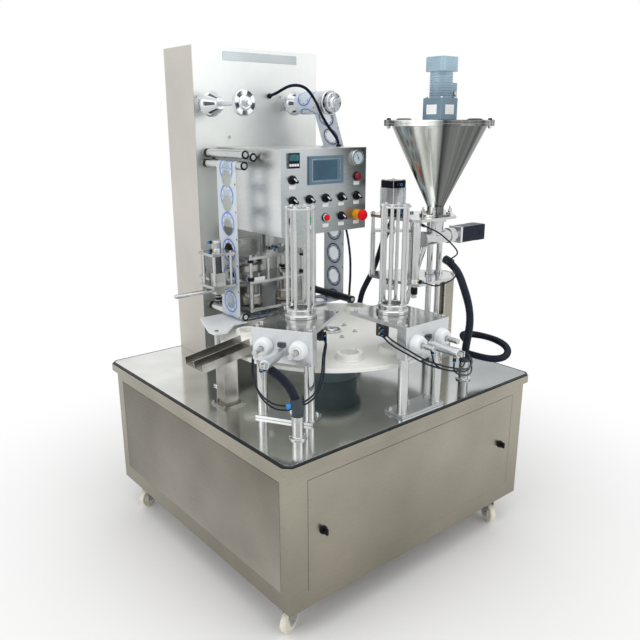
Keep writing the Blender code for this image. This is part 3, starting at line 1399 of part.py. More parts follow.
def make_chute():
    """Two U channels side by side, sloping down outwards, on a square post with a bolted foot."""
    wall, side = CHUTE_WALL, CHUTE_SIDE
    half = CHUTE_HALF_WIDTH
    section = [(-half, 0.0), (half, 0.0), (half, side), (half - wall, side), (half - wall, wall)]
    section += [(wall / 2, wall), (wall / 2, side), (-wall / 2, side), (-wall / 2, wall)]
    section += [(wall - half, wall), (wall - half, side), (-half, side)]
    length = math.hypot(CHUTE_OUTER - CHUTE_INNER, chute_high - chute_low)
    channel = plate("discharge_chute", section, 0.0, length)
    slope = math.atan2(chute_high - chute_low, CHUTE_INNER - CHUTE_OUTER)
    stand = Matrix(((0, 0, -1), (-1, 0, 0), (0, 1, 0))).to_4x4()
    tilt = Matrix.Rotation(-slope, 4, "Y")
    place = Matrix.Translation((CHUTE_INNER, CHUTE_MIDDLE, chute_high))
    channel.data.transform(place @ tilt @ stand)
    base = table_top + SEAT_GAP
    px, py = -0.4425, -0.083
    share = (CHUTE_INNER - px) / (CHUTE_INNER - CHUTE_OUTER)
    top = chute_high - (chute_high - chute_low) * share
    post = block("post", (px - 0.025, py - 0.025, base), (px + 0.025, py + 0.025, top + 0.001))
    foot = block("foot", (px - 0.040, py - 0.040, base), (px + 0.040, py + 0.040, base + 0.006))
    joins = [channel, post, foot]
    for sx in (-1, 1):
        for sy in (-1, 1):
            x, y = px + sx * 0.033, py + sy * 0.033
            joins.append(rod("bolt", 0.005, (x, y, base + 0.001), (x, y, base + 0.011)))
    node("discharge_chute", POLISHED, joins)


# Hoses

HOSE_A_ROUTE = [
    (-0.424, -0.429, 0.048),
    (-0.424, -0.429, 0.096),
    (-0.426, -0.420, 0.131),
    (-0.418, -0.378, 0.158),
    (-0.404, -0.330, 0.176),
    (-0.392, -0.300, 0.179),
]
HOSE_B_ROUTE = [
    (0.430, -0.252, 0.394),
    (0.423, -0.290, 0.381),
    (0.396, -0.340, 0.361),
    (0.345, -0.405, 0.326),
    (0.318, -0.452, 0.281),
    (0.312, -0.468, 0.226),
    (0.318, -0.455, 0.166),
    (0.326, -0.441, 0.111),
    (0.328, -0.438, 0.048),
]
HOSE_LOOP_ROUTE = [
    (0.326, -0.445, 0.148),
    (0.356, -0.434, 0.148),
    (0.398, -0.424, 0.136),
    (0.446, -0.426, 0.112),
    (0.488, -0.440, 0.090),
    (0.502, -0.476, 0.072),
    (0.480, -0.510, 0.060),
    (0.438, -0.512, 0.060),
    (0.398, -0.492, 0.072),
    (0.362, -0.462, 0.090),
    (0.330, -0.441, 0.100),
]


def over_table(route):
    """The same route, its heights counted from the table's top."""
    return [(x, y, table_top + rise) for x, y, rise in route]


def make_hoses():
    node("hose_a", RUBBER, [as_mesh(hose("hose_a", over_table(HOSE_A_ROUTE), HOSE_RADIUS))])
    down = as_mesh(hose("hose_b", over_table(HOSE_B_ROUTE), HOSE_RADIUS))
    loop = as_mesh(hose("hose_loop", over_table(HOSE_LOOP_ROUTE), HOSE_RADIUS - 0.001, 0.030))
    node("hose_b", RUBBER, [down, loop])


make_cabinet()
make_panels()
make_table()
make_casters()
make_drive()
make_turntable()
make_tower()
make_control_box()
make_controls()
make_rollers()
make_reel("rewind_reel", rewind_axis, ((0.285, -1), (0.095, 1)), False)
make_reel("supply_reel", supply_axis, ((0.285, -1), (0.095, 1)), True)
make_film()
make_dispenser("a", STATION_A_ANGLE)
make_dispenser("b", STATION_B_ANGLE)
make_filler_stand()
make_hopper()
make_auger()
make_sealing_unit()
make_coder()
make_chute()
make_hoses()

# The origin goes under the middle of the whole machine, which overhangs the cabinet at two sides
reach_right = SERVO_END
reach_front = HEAD_OUTER + CYLINDER_LENGTH + CLEVIS_LENGTH - on_pitch_circle(STATION_B_ANGLE)[1]
machine = bpy.data.objects.new("machine", None)
bpy.data.collections["Capsule filling machine"].objects.link(machine)
machine.location = ((lip_half_width - reach_right) / 2, (reach_front - lip_half_depth) / 2, 0.0)
for obj in bpy.data.objects:
    if obj.parent is None and obj != machine:
        obj.parent = machine
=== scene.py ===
# %% [markdown]
# # A coffee capsule filling machine
# The real machine is a square stainless cabinet on four casters. A round indexing disc turns on its
# table and carries capsules past two magazines, a powder filler, a press and a heated film sealer.
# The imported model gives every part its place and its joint. This lesson dresses it: smooth turned
# skins over the faceted rounds, small fasteners, hoses, print, and a finish for each surface.

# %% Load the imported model
import math
from itertools import product

import bpy
import numpy as np
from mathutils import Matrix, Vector


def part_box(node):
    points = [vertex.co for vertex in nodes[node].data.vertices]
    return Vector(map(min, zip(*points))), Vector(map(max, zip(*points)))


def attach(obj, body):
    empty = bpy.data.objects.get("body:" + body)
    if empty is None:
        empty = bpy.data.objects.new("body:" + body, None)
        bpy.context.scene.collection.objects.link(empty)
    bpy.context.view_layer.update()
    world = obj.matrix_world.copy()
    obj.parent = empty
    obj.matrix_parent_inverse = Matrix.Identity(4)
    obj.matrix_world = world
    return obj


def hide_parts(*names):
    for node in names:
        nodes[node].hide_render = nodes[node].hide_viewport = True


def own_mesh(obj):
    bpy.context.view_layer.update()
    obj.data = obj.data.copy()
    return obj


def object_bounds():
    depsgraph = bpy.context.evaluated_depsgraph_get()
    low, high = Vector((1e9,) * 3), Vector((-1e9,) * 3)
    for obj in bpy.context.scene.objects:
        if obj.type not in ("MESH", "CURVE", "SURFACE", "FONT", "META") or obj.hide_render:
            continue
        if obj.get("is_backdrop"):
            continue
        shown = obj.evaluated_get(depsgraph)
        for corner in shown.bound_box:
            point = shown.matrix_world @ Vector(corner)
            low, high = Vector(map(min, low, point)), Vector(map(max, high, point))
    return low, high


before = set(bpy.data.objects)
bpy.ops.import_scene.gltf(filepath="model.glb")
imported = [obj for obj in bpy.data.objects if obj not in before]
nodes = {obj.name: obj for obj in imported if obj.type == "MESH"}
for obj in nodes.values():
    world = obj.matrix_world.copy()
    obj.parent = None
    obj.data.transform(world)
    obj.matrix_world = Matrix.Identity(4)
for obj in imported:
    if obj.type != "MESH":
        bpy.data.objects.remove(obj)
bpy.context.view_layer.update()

# %% [markdown]
# ## One origin for the lesson
# The row's origin lies under the middle of the whole machine, but a maker measures from the middle
# of the cabinet. The cabinet's own box gives that middle, so places below are written from it, in
# metres. Tables of points, such as the profile of a turned part, are written in millimetres.

# %% Measure from the cabinet's middle
cabinet_low, cabinet_high = (np.array(corner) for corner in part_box("cabinet_frame"))
MIDDLE = np.array([*(cabinet_low + cabinet_high)[:2] / 2, 0.0])
HALF_WIDTH, HALF_DEPTH = (cabinet_high - cabinet_low)[:2] / 2
BASE = "machine_base"
UP, DOWN, FRONT, BACK, RIGHT = (0, 0, 1), (0, 0, -1), (0, -1, 0), (0, 1, 0), (1, 0, 0)


def at(x, y, z):
    """A place given from the cabinet's middle, z above the floor, in the row frame."""
    return MIDDLE + (x, y, z)


def mm(table):
    """Rows of numbers in millimetres, with commas between the rows, as an array in metres."""
    return np.array([row.split() for row in table.split(",")], float) / 1000


print("cabinet middle:", MIDDLE.round(4), "half size:", round(HALF_WIDTH, 3), round(HALF_DEPTH, 3))

# %% [markdown]
# ## Surfaces on a grid
# Every new piece is a grid of points with rows and columns: a profile turned about an axis, an
# outline pushed along a line, or a circle carried along a path. One function turns any such grid
# into faces, so that the shape itself stays a formula. A check of the enclosed volume turns the
# faces outwards where the grid ran the other way.

# %% Faces from a grid of points
AXES = np.eye(3)
PLANES = {"XY": AXES, "XZ": (AXES[0], AXES[2], -AXES[1]), "YZ": (AXES[1], AXES[2], AXES[0])}


def unit(vectors):
    """Each vector divided by its length."""
    vectors = np.asarray(vectors, float)
    return vectors / np.linalg.norm(vectors, axis=-1, keepdims=True)


def square_to(direction):
    """Two unit vectors square to a direction and to each other, and the direction's own."""
    along = unit(direction)
    spare = AXES[0] if abs(along[0]) < 0.9 else AXES[1]
    first = unit(np.cross(spare, along))
    return first, np.cross(along, first), along


def outward(points, faces):
    """The same faces, turned round where they enclose a negative volume. The volume is the sum of
    a . (b x c) / 6 over the triangles that fan out from each face's first corner."""
    fans = [(f[0], f[k], f[k + 1]) for f in faces for k in range(1, len(f) - 1)]
    a, b, c = (points[np.array(fans)[:, k]] for k in range(3))
    if np.einsum("ij,ij->i", a, np.cross(b, c)).sum() < 0:
        faces = [face[::-1] for face in faces]
    return points, faces


def from_grid(grid, ring=False):
    """Faces between neighbouring rows and columns of a grid of points. Each row closes on itself.
    The last row joins the first where ring is True, else both get a cap."""
    rows, columns = grid.shape[:2]
    i = np.arange(rows if ring else rows - 1)[:, None]
    j = np.arange(columns)[None, :]
    down, right = (i + 1) % rows, (j + 1) % columns
    corners = [i * columns + j, i * columns + right, down * columns + right, down * columns + j]
    faces = np.stack(np.broadcast_arrays(*corners), -1).reshape(-1, 4).tolist()
    if not ring:
        first = list(range(columns))
        faces += [first[::-1], [(rows - 1) * columns + k for k in first]]
    return outward(grid.reshape(-1, 3), faces)


print("a grid of 3 rows and 4 columns has", len(from_grid(np.ones((3, 4, 3)))[1]), "faces")

# %% [markdown]
# ## Softened corners
# Machined edges always carry a small chamfer or radius, and that thin highlight is what makes metal
# read as metal. Each corner of a profile becomes a short curve between a point before it and a point
# after it, bent towards the corner itself.

# %% Round the corners of a profile


def softened(points, radius, steps=3, closed=True):
    """Each corner P becomes the curve (1-t)^2 A + 2t(1-t) P + t^2 C, where A and C lie on the two
    sides at the given distance from P, or at 0.45 of the side where that is shorter."""
    points = np.asarray(points, float)
    before, after = np.roll(points, 1, axis=0), np.roll(points, -1, axis=0)
    back, ahead = before - points, after - points
    long_back = np.linalg.norm(back, axis=1, keepdims=True) + 1e-12
    long_ahead = np.linalg.norm(ahead, axis=1, keepdims=True) + 1e-12
    start = points + back / long_back * np.minimum(radius, 0.45 * long_back)
    end = points + ahead / long_ahead * np.minimum(radius, 0.45 * long_ahead)
    t = np.linspace(0, 1, steps + 1)[None, :, None]
    curve = (1 - t) ** 2 * start[:, None] + 2 * t * (1 - t) * points[:, None] + t**2 * end[:, None]
    if closed:
        return curve.reshape(-1, 2)
    return np.concatenate([points[:1], curve[1:-1].reshape(-1, 2), points[-1:]])


def box_outline(x0, y0, x1, y1):
    """The four corners of a rectangle."""
    return np.array([(x0, y0), (x1, y0), (x1, y1), (x0, y1)], float)


def centred_outline(half_x, half_y):
    """The four corners of a rectangle round the origin."""
    return box_outline(-half_x, -half_y, half_x, half_y)


print("a softened square has", len(softened(centred_outline(1, 1), 0.1)), "points")

# %% [markdown]
# ## Turned parts
# Rollers, wheels, knobs, rings and the hopper all come off a lathe or a spinning tool. Their surface
# is a profile of radius and height, turned about an axis. A profile that closes on itself makes a
# ring; an open one gets a flat cap at both ends.

# %% Turn a profile about an axis


def spokes(axis, sides):
    """The angles round an axis, the unit vectors that point out at them, and the axis itself."""
    first, second, along = square_to(axis)
    angle = np.linspace(0, 2 * np.pi, sides, endpoint=False)
    return angle, np.cos(angle)[:, None] * first + np.sin(angle)[:, None] * second, along


def turned(profile, base, axis=UP, sides=40, ring=False):
    """P(i, j) = base + r_i (cos a_j e1 + sin a_j e2) + h_i axis, for a profile of (r, h) points."""
    profile = np.asarray(profile, float)
    _, rays, along = spokes(axis, sides)
    grid = profile[:, 0, None, None] * rays[None] + profile[:, 1, None, None] * along
    return from_grid(grid + np.asarray(base, float), ring)


def lathe(profile, soft, base, axis=UP, sides=40, ring=False):
    """A profile with softened corners, turned about an axis."""
    return turned(softened(profile, soft, closed=ring), base, axis, sides, ring)


def rod(start, end, radius, soft=0.0008, sides=32, end_radius=None):
    """A round bar between two points, its end edges softened."""
    start, end = np.asarray(start, float), np.asarray(end, float)
    length = np.linalg.norm(end - start)
    last = radius if end_radius is None else end_radius
    profile = [(0.3 * radius, 0), (radius, 0), (last, length), (0.3 * last, length)]
    return lathe(profile, soft, start, end - start, sides)


def sleeve(start, end, outer, inner, soft=0.0006, sides=40):
    """A ring or tube between two points."""
    start, end = np.asarray(start, float), np.asarray(end, float)
    length = np.linalg.norm(end - start)
    profile = [(inner, 0), (outer, 0), (outer, length), (inner, length)]
    return lathe(profile, soft, start, end - start, sides, True)


def upright(x, y, low, high, radius, soft=0.0008, sides=32):
    """A round bar that stands at (x, y) from the cabinet's middle."""
    return rod(at(x, y, low), at(x, y, high), radius, soft, sides)


def level(x, z, back, front, radius, soft=0.0008, sides=32):
    """A round bar that lies from the back to the front."""
    return rod(at(x, back, z), at(x, front, z), radius, soft, sides)


def dome(base, axis, radius, height, sides=24, rim=0.0):
    """A rounded head: radius R cos t, height rim + H sin t, for t from 0 to almost a right angle."""
    t = np.linspace(0, 0.47 * np.pi, 7)
    profile = np.stack([radius * np.cos(t), rim + height * np.sin(t)], 1)
    return turned(np.concatenate([[(radius, 0.0)], profile]), base, axis, sides)


def places_round(centre, radius, degrees):
    """Places (x, y) on a circle at the given angles."""
    return [
        (centre[0] + radius * math.cos(turn), centre[1] + radius * math.sin(turn))
        for turn in map(math.radians, degrees)
    ]


print("a sleeve has", len(sleeve((0, 0, 0), UP, 2, 1)[1]), "faces")

# %% [markdown]
# ## Pushed outlines
# Plates, blocks and profiles are flat outlines given a thickness. The outline shrinks a little over
# the last half millimetre at both faces, which rounds every long edge.

# %% Push an outline along a line


def inset(outline, distance):
    """The outline moved inwards: each corner goes along the sum of its two side normals n1 + n2,
    divided by 1 + n1 . n2, which keeps both sides at the same distance."""
    sides = unit(np.roll(outline, -1, axis=0) - outline)
    normal = np.stack([-sides[:, 1], sides[:, 0]], 1)
    previous = np.roll(normal, 1, axis=0)
    spread = 1 + np.einsum("ij,ij->i", previous, normal)[:, None]
    after = np.roll(outline, -1, axis=0)
    area = (outline[:, 0] * after[:, 1] - outline[:, 1] * after[:, 0]).sum()
    return outline + (previous + normal) / np.maximum(spread, 0.4) * distance * np.sign(area)


def prism(outline, low, high, plane="XY", soft=0.0006, corner=0.0):
    """P(i, j) = u_j e1 + v_j e2 + w_i e3, where the outline (u, v) is inset at both end rows."""
    outline = softened(outline, corner) if corner else np.asarray(outline, float)
    first, second, along = PLANES[plane]
    t = np.array([0, 0.5, 1.0]) * np.pi / 2
    inner = np.concatenate([1 - np.sin(t), (1 - np.sin(t))[::-1]]) * soft
    height = np.concatenate([low + soft * (1 - np.cos(t)), (high - soft * (1 - np.cos(t)))[::-1]])
    rows = np.stack([inset(outline, amount) for amount in inner])
    return from_grid(rows[..., :1] * first + rows[..., 1:] * second + height[:, None, None] * along)


def block(low, high, soft=0.0008, corner=None):
    """A box between two corners, with every edge softened."""
    (x0, y0, z0), (x1, y1, z1) = low, high
    outline = box_outline(x0, y0, x1, y1)
    return prism(outline, z0, z1, "XY", soft, soft if corner is None else corner)


def border(outer, inner, low, high, plane="XY"):
    """A flat frame between two outlines of as many points: four rows that close on themselves."""
    first, second, along = PLANES[plane]
    rows = np.stack([outer, outer, inner, inner])
    height = np.array([low, high, high, low])[:, None, None]
    return from_grid(rows[..., :1] * first + rows[..., 1:] * second + height * along, True)


print("a softened block has", len(block((0, 0, 0), (1, 1, 1))[1]), "faces")

# %% [markdown]
# ## Bent tubes and springs
# A hose or an air line is a circle carried along a smooth path. The path runs through a few given
# points as a Catmull-Rom curve. The circle's plane follows the path's direction, and its first axis
# is taken square to the one direction that the path uses least.

# %% Carry a circle along a path


def smooth_path(points, count=60):
    """Catmull-Rom: between B and C of A, B, C, D the point is half of 2B + (C-A)t +
    (2A-5B+4C-D)t^2 + (3B-A-3C+D)t^3."""
    knots = np.asarray(points, float)
    knots = np.concatenate([[2 * knots[0] - knots[1]], knots, [2 * knots[-1] - knots[-2]]])
    place = np.linspace(0, len(knots) - 3, count)
    index = np.minimum(place.astype(int), len(knots) - 4)
    t = (place - index)[:, None]
    a, b, c, d = (knots[index + k] for k in range(4))
    curve = 2 * b + (c - a) * t + (2 * a - 5 * b + 4 * c - d) * t**2
    return (curve + (3 * b - a - 3 * c + d) * t**3) / 2


def evenly(path, count):
    """The same path, divided evenly by length."""
    walked = np.concatenate([[0.0], np.cumsum(np.linalg.norm(np.diff(path, axis=0), axis=1))])
    even = np.linspace(0.0, walked[-1], count)
    return np.stack([np.interp(even, walked, path[:, axis]) for axis in range(3)], 1)


def tightest_bend(path):
    """The least radius along a path: the mean of two steps over the turn between them."""
    step = np.diff(path, axis=0)
    size = np.linalg.norm(step, axis=1)
    turn = np.linalg.norm(np.diff(step / size[:, None], axis=0), axis=1)
    return float((0.5 * (size[1:] + size[:-1]) / np.maximum(turn, 1e-6)).min())


def eased_path(points, least, rounds=150):
    """A smooth path whose inner points move again and again to the mean of their neighbours, until
    no bend has a smaller radius than the least one, or the rounds are over."""
    path = evenly(smooth_path(points, 241), 121)
    for _ in range(rounds):
        if tightest_bend(path) > least:
            break
        path[1:-1] = 0.25 * path[:-2] + 0.5 * path[1:-1] + 0.25 * path[2:]
    return path


def tube(path, radius, sides=12, ridges=0, ridge_height=0.0):
    """P(i, j) = C_i + r_i (cos a_j N_i + sin a_j B_i). Ridges make r swell and shrink along it."""
    path = np.asarray(path, float)
    along = unit(np.gradient(path, axis=0))
    least = np.linalg.svd(along)[2][-1]
    first = unit(np.cross(along, least))
    second = np.cross(along, first)
    swell = ridge_height * np.cos(np.linspace(0, 2 * np.pi * ridges, len(path)))
    angle = np.linspace(0, 2 * np.pi, sides, endpoint=False)[None, :, None]
    rays = np.cos(angle) * first[:, None] + np.sin(angle) * second[:, None]
    return from_grid(path[:, None] + (radius + swell)[:, None, None] * rays)


def spring(x, y, low, high, radius, wire, turns):
    """An upright helix: C(t) = start + (end - start) t + R (cos 2 pi n t e1 + sin 2 pi n t e2)."""
    start, end = at(x, y, low), at(x, y, high)
    first, second, _ = square_to(end - start)
    t = np.linspace(0, 1, turns * 14)[:, None]
    angle = 2 * np.pi * turns * t
    coil = radius * (np.cos(angle) * first + np.sin(angle) * second)
    return tube(start + (end - start) * t + coil, wire, 6)


print("a spring of five turns has", len(spring(0, 0, 0, 1, 0.1, 0.01, 5)[0]), "points")

# %% [markdown]
# ## Putting pieces in place
# Shapes with one finish on one body join into one object. Flat faces keep their own normals through
# weighting, so that a softened edge shades smoothly and the face beside it stays flat.

# %% Make an object from shapes


def moved(shapes, place, degrees=0.0):
    """Shapes built in a unit's own frame, turned about Z and carried to its place."""
    cos, sin = math.cos(math.radians(degrees)), math.sin(math.radians(degrees))
    matrix = np.array([[cos, -sin, 0], [sin, cos, 0], [0, 0, 1]])
    return [(points @ matrix.T + place, faces) for points, faces in shapes]


def show(name, shapes, finish, body=BASE, replaces=(), sharp=35):
    """Joins the shapes into one mesh at the origin, shaded smooth, riding on a body."""
    if isinstance(shapes, tuple):
        shapes = [shapes]
    starts = np.cumsum([0, *(len(points) for points, _ in shapes)])
    faces = [[i + s for i in f] for (_, fs), s in zip(shapes, starts) for f in fs]
    mesh = bpy.data.meshes.new(name)
    mesh.from_pydata(np.concatenate([points for points, _ in shapes]).tolist(), [], faces)
    mesh.shade_smooth()
    mesh.set_sharp_from_angle(angle=math.radians(sharp))
    mesh.materials.append(finish)
    piece = bpy.data.objects.new(name, mesh)
    bpy.context.scene.collection.objects.link(piece)
    piece.modifiers.new("Flat faces", "WEIGHTED_NORMAL").keep_sharp = True
    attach(piece, body)
    if replaces:
        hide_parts(*([replaces] if isinstance(replaces, str) else replaces))
    print(name, "on", body, "has", len(faces), "faces")
    return piece


def dress(node, end, shapes, finish):
    """A piece that rides on the body of a node's name and takes the node's place."""
    return show(node + end, shapes, finish, node, node)


def paint(finish, names):
    """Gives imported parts, named in one text, their finish."""
    for name in names.split():
        nodes[name].data.materials.clear()
        nodes[name].data.materials.append(finish)


def numbered(name, count):
    """The names with the numbers from 1 to the count, as one text."""
    return " ".join(f"{name}_{k}" for k in range(1, count + 1))


print("numbered names:", numbered("selector", 7))

# %% [markdown]
# ## Shared effects
# Brushed sheet has fine straight scratches from an abrasive belt, and every handled surface has
# cloudy variation where it was wiped; on bare metal the same clouds also paint a mottled reflection
# of its surroundings. Both are node groups that only give out values. The material decides what
# they change.

# %% Short ways to wire shader nodes


def add(tree, kind, sources=(), **settings):
    """A new shader node. Its sources are sockets to link or values to set, by input name or number."""
    node = tree.nodes.new("ShaderNode" + kind)
    for name, value in settings.items():
        setattr(node, name, value)
    connect(tree, node, sources)
    return node


def connect(tree, node, sources):
    """Links or sets a node's inputs."""
    for key, value in dict(sources).items():
        if isinstance(value, bpy.types.NodeSocket):
            tree.links.new(value, node.inputs[key])
        else:
            node.inputs[key].default_value = value


def mixed(tree, factor, first, second, **settings):
    """The mix of two colours, each a tone or a socket."""
    first, second = ((*tone, 1) if isinstance(tone, tuple) else tone for tone in (first, second))
    sources = {"A": first, "B": second, "Factor": factor}
    return add(tree, "Mix", sources, data_type="RGBA", **settings).outputs["Result"]


def mapped(tree, value, start, end, low=0.0, high=1.0, **settings):
    """A value's place between start and end, as a share of the way from low to high."""
    limits = {"From Min": start, "From Max": end, "To Min": low, "To Max": high, "Value": value}
    return add(tree, "MapRange", limits, **settings).outputs["Result"]


def object_place(tree):
    """The place in the object's own coordinates."""
    return add(tree, "TexCoord").outputs["Object"]


def new_group(name, inputs, output):
    """An empty shader node group with named sockets, and its two end nodes."""
    group = bpy.data.node_groups.new(name, "ShaderNodeTree")
    for title, kind, value in inputs:
        socket = group.interface.new_socket(title, in_out="INPUT", socket_type=kind)
        if value is not None:
            socket.default_value = value
    group.interface.new_socket(output, in_out="OUTPUT", socket_type="NodeSocketFloat")
    return group, group.nodes.new("NodeGroupInput").outputs, group.nodes.new("NodeGroupOutput")


# %% Node groups for grain and clouding


def grain_group():
    """Noise stretched by the Stretch vector: long streaks along one axis."""
    inputs = [("Position", "NodeSocketVector", None), ("Stretch", "NodeSocketVector", (40, 40, 1600))]
    group, given, end = new_group("Brushed grain", inputs, "Streaks")
    scaled = add(group, "VectorMath", {0: given["Position"], 1: given["Stretch"]}, operation="MULTIPLY")
    noise = add(group, "TexNoise", {"Vector": scaled.outputs[0], "Scale": 1.0, "Detail": 3.0})
    connect(group, end, {"Streaks": noise.outputs["Fac"]})
    return group


def cloud_group():
    """Two soft noises mixed: broad wiping marks and painted mottled reflections, and finer smudges."""
    inputs = [("Position", "NodeSocketVector", None), ("Size", "NodeSocketFloat", 3.0)]
    group, given, end = new_group("Wiping marks and painted reflections", inputs, "Clouds")
    finer = add(group, "Math", {0: given["Size"], 1: 4.3}, operation="MULTIPLY").outputs[0]
    place = given["Position"]
    broad, fine = (
        add(group, "TexNoise", {"Vector": place, "Scale": size, "Detail": detail}).outputs["Fac"]
        for size, detail in ((given["Size"], 2.0), (finer, 4.0))
    )
    mean = add(group, "Math", {0: fine, 1: 0.3, 2: broad}, operation="MULTIPLY_ADD")
    connect(group, end, {"Clouds": mean.outputs[0]})
    return group


GRAIN, CLOUDS = grain_group(), cloud_group()
print("groups:", GRAIN.name, "and", CLOUDS.name)

# %% [markdown]
# ## Finishes
# One function makes the metals and plastics: a base colour that drifts a little with the clouds, a
# roughness that follows the streaks, and a shallow bump. A Bevel node rounds the shading of the
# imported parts' sharp edges and facets by a millimetre or so.

# %% A finish with grain and clouds
FINE = (400, 400, 400)


def new_material(name, slot):
    """An empty node material with the slot it fills, its tree and its shader."""
    made = bpy.data.materials.new(name)
    made.use_nodes = True
    made["slot"] = slot
    return made, made.node_tree, made.node_tree.nodes["Principled BSDF"]


def make_finish(
    name, slot, colour, roughness, drift, cloud_size, streak, bump, stretch=FINE,
    metallic=0, coat=0.0, shine=0.5, fades=(),
):
    """A material of one colour, drifting by a share. A fade names an axis, another colour, and the
    places where that colour is full and where it has gone; the fades here are painted shade,
    painted reflection and painted highlight."""
    made, tree, shader = new_material(name, slot)
    place = object_place(tree)
    grain = add(tree, "Group", node_tree=GRAIN)
    connect(tree, grain, {"Position": place, "Stretch": stretch})
    clouds = add(tree, "Group", node_tree=CLOUDS)
    connect(tree, clouds, {"Position": place, "Size": cloud_size})
    spread = mapped(tree, clouds.outputs["Clouds"], 0.42, 0.88)

    def drifting(middle):
        """The colour a little darker and lighter, chosen by the clouds."""
        tones = (tuple(np.clip(np.array(middle) * (1 + sign * drift), 0, 1)) for sign in (-1, 1))
        return mixed(tree, spread, *tones)

    base = drifting(colour)
    for axis, other, full, gone in fades:
        split = add(tree, "SeparateXYZ", {0: place})
        share = mapped(tree, split.outputs[axis], full, gone)
        base = mixed(tree, share, drifting(other), base)
    streaks = grain.outputs["Streaks"]
    bevel = add(tree, "Bevel", {"Radius": 0.001}, samples=4)
    relief = {"Strength": bump, "Distance": 0.0002, "Height": streaks, "Normal": bevel.outputs["Normal"]}
    connect(tree, shader, {
        "Metallic": metallic,
        "Coat Weight": coat,
        "Specular IOR Level": shine,
        "Base Color": base,
        "Roughness": mapped(tree, streaks, 0.3, 0.7, max(0.02, roughness - streak), roughness + streak),
        "Normal": add(tree, "Bump", relief).outputs["Normal"],
    })
    return made


def metal(*given, **settings):
    """A finish of bare metal."""
    return make_finish(*given, metallic=1, **settings)


# %% [markdown]
# The cabinet is brushed along its length, the tower up and down, and the table and the hopper are
# polished. Bare metal shows what stands round it, so each colour here is painted reflection: that of
# the sheet with its surroundings in it, warm and dark on the cabinet, cool and bright at the top of
# the tower. Where the sheet runs from dark to light up its height or across a face, the finish fades
# between two colours: painted shade and painted reflection.

# %% Metals
ALONG, UPWARD, ROUND = (10, 10, 2600), (2600, 2600, 10), (120, 120, 1500)
CROSSWISE, EVEN = (60, 900, 60), (200, 200, 200)
# Painted shade: the cabinet sheet darkens towards the floor.
CABINET = metal(
    "Cabinet sheet", "stainless", (0.34, 0.32, 0.26), 0.26, 0.16, 1.7, 0.05, 0.10, ALONG,
    fades=[("Z", (0.27, 0.25, 0.20), 0.10, 0.50)],
)
# The sides are a darker, shaded copy of the cabinet sheet: painted shade, darkest towards the back, and
# a painted reflection that lightens them towards the floor.
SIDE = metal(
    "Cabinet side", "stainless", (0.20, 0.18, 0.145), 0.26, 0.22, 1.7, 0.05, 0.10, ALONG,
    fades=[("Z", (0.42, 0.395, 0.34), 0.12, 0.52), ("Y", (0.13, 0.12, 0.095), 0.62, 0.15)],
)
# Painted reflection: the tower sheet is lightest at the top and darker lower down; painted shade darkens
# its left side.
TOWER = metal(
    "Tower sheet", "stainless", (0.76, 0.78, 0.77), 0.48, 0.12, 1.8, 0.05, 0.08, UPWARD,
    fades=[("Z", (0.58, 0.60, 0.57), 1.10, 1.62), ("X", (0.56, 0.54, 0.50), -0.2925, -0.2880)],
)
# Painted shade: the box's front is a darker copy of its sheet than the sides, and darker still towards
# the bottom.
BOX = metal(
    "Box front, painted shade", "stainless", (0.44, 0.47, 0.48), 0.30, 0.14, 4.0, 0.05, 0.10, ALONG,
    fades=[("Z", (0.36, 0.39, 0.40), 1.12, 1.40)],
)
# Painted reflection: the polished table darkens towards the right.
TABLE = metal(
    "Polished table", "polished", (0.70, 0.71, 0.68), 0.13, 0.22, 2.4, 0.04, 0.0, (20, 300, 20),
    fades=[("X", (0.34, 0.37, 0.38), 0.50, -0.30)],
)
# Painted reflection: the box's sides are a lighter copy of the same sheet.
BOX_SIDE = metal("Box side, painted reflection", "stainless", (0.66, 0.68, 0.67), 0.30, 0.14, 4.0, 0.05, 0.10, ALONG)
STEEL = metal("Turned steel", "stainless", (0.56, 0.57, 0.57), 0.20, 0.10, 9.0, 0.06, 0.05, ROUND)
ALUMINIUM = metal(
    "Machined aluminium", "aluminium", (0.66, 0.68, 0.70), 0.34, 0.08, 12.0, 0.08, 0.06, (900, 60, 60)
)
BRIGHT = metal(
    "Bright aluminium", "aluminium", (0.64, 0.66, 0.68), 0.32, 0.06, 9.0, 0.06, 0.05, CROSSWISE
)
ZINC = metal("Zinc plate", "zinc", (0.50, 0.51, 0.52), 0.30, 0.14, 30.0, 0.10, 0.1, EVEN)
BRASS = metal("Brass", "aluminium", (0.55, 0.42, 0.18), 0.25, 0.06, 20.0, 0.05, 0.05, EVEN)
PLATE = metal(
    "Polished plate", "polished", (0.42, 0.43, 0.42), 0.14, 0.18, 6.0, 0.05, 0.04, (40, 40, 900)
)
DARK = metal("Dark anodised", "aluminium", (0.085, 0.09, 0.10), 0.30, 0.10, 9.0, 0.06, 0.05, CROSSWISE)
CHUTE = metal("Chute sheet", "stainless", (0.40, 0.39, 0.36), 0.22, 0.25, 9.0, 0.06, 0.06, (10, 900, 10))
HEATED = metal("Heated head", "aluminium", (0.40, 0.37, 0.32), 0.30, 0.15, 20.0, 0.06, 0.06, ROUND)
NAMEPLATE = metal("Nameplate", "aluminium", (0.42, 0.46, 0.47), 0.30, 0.05, 9.0, 0.06, 0.05, ALONG)
print("metals:", len([m for m in bpy.data.materials if m.get("slot")]))
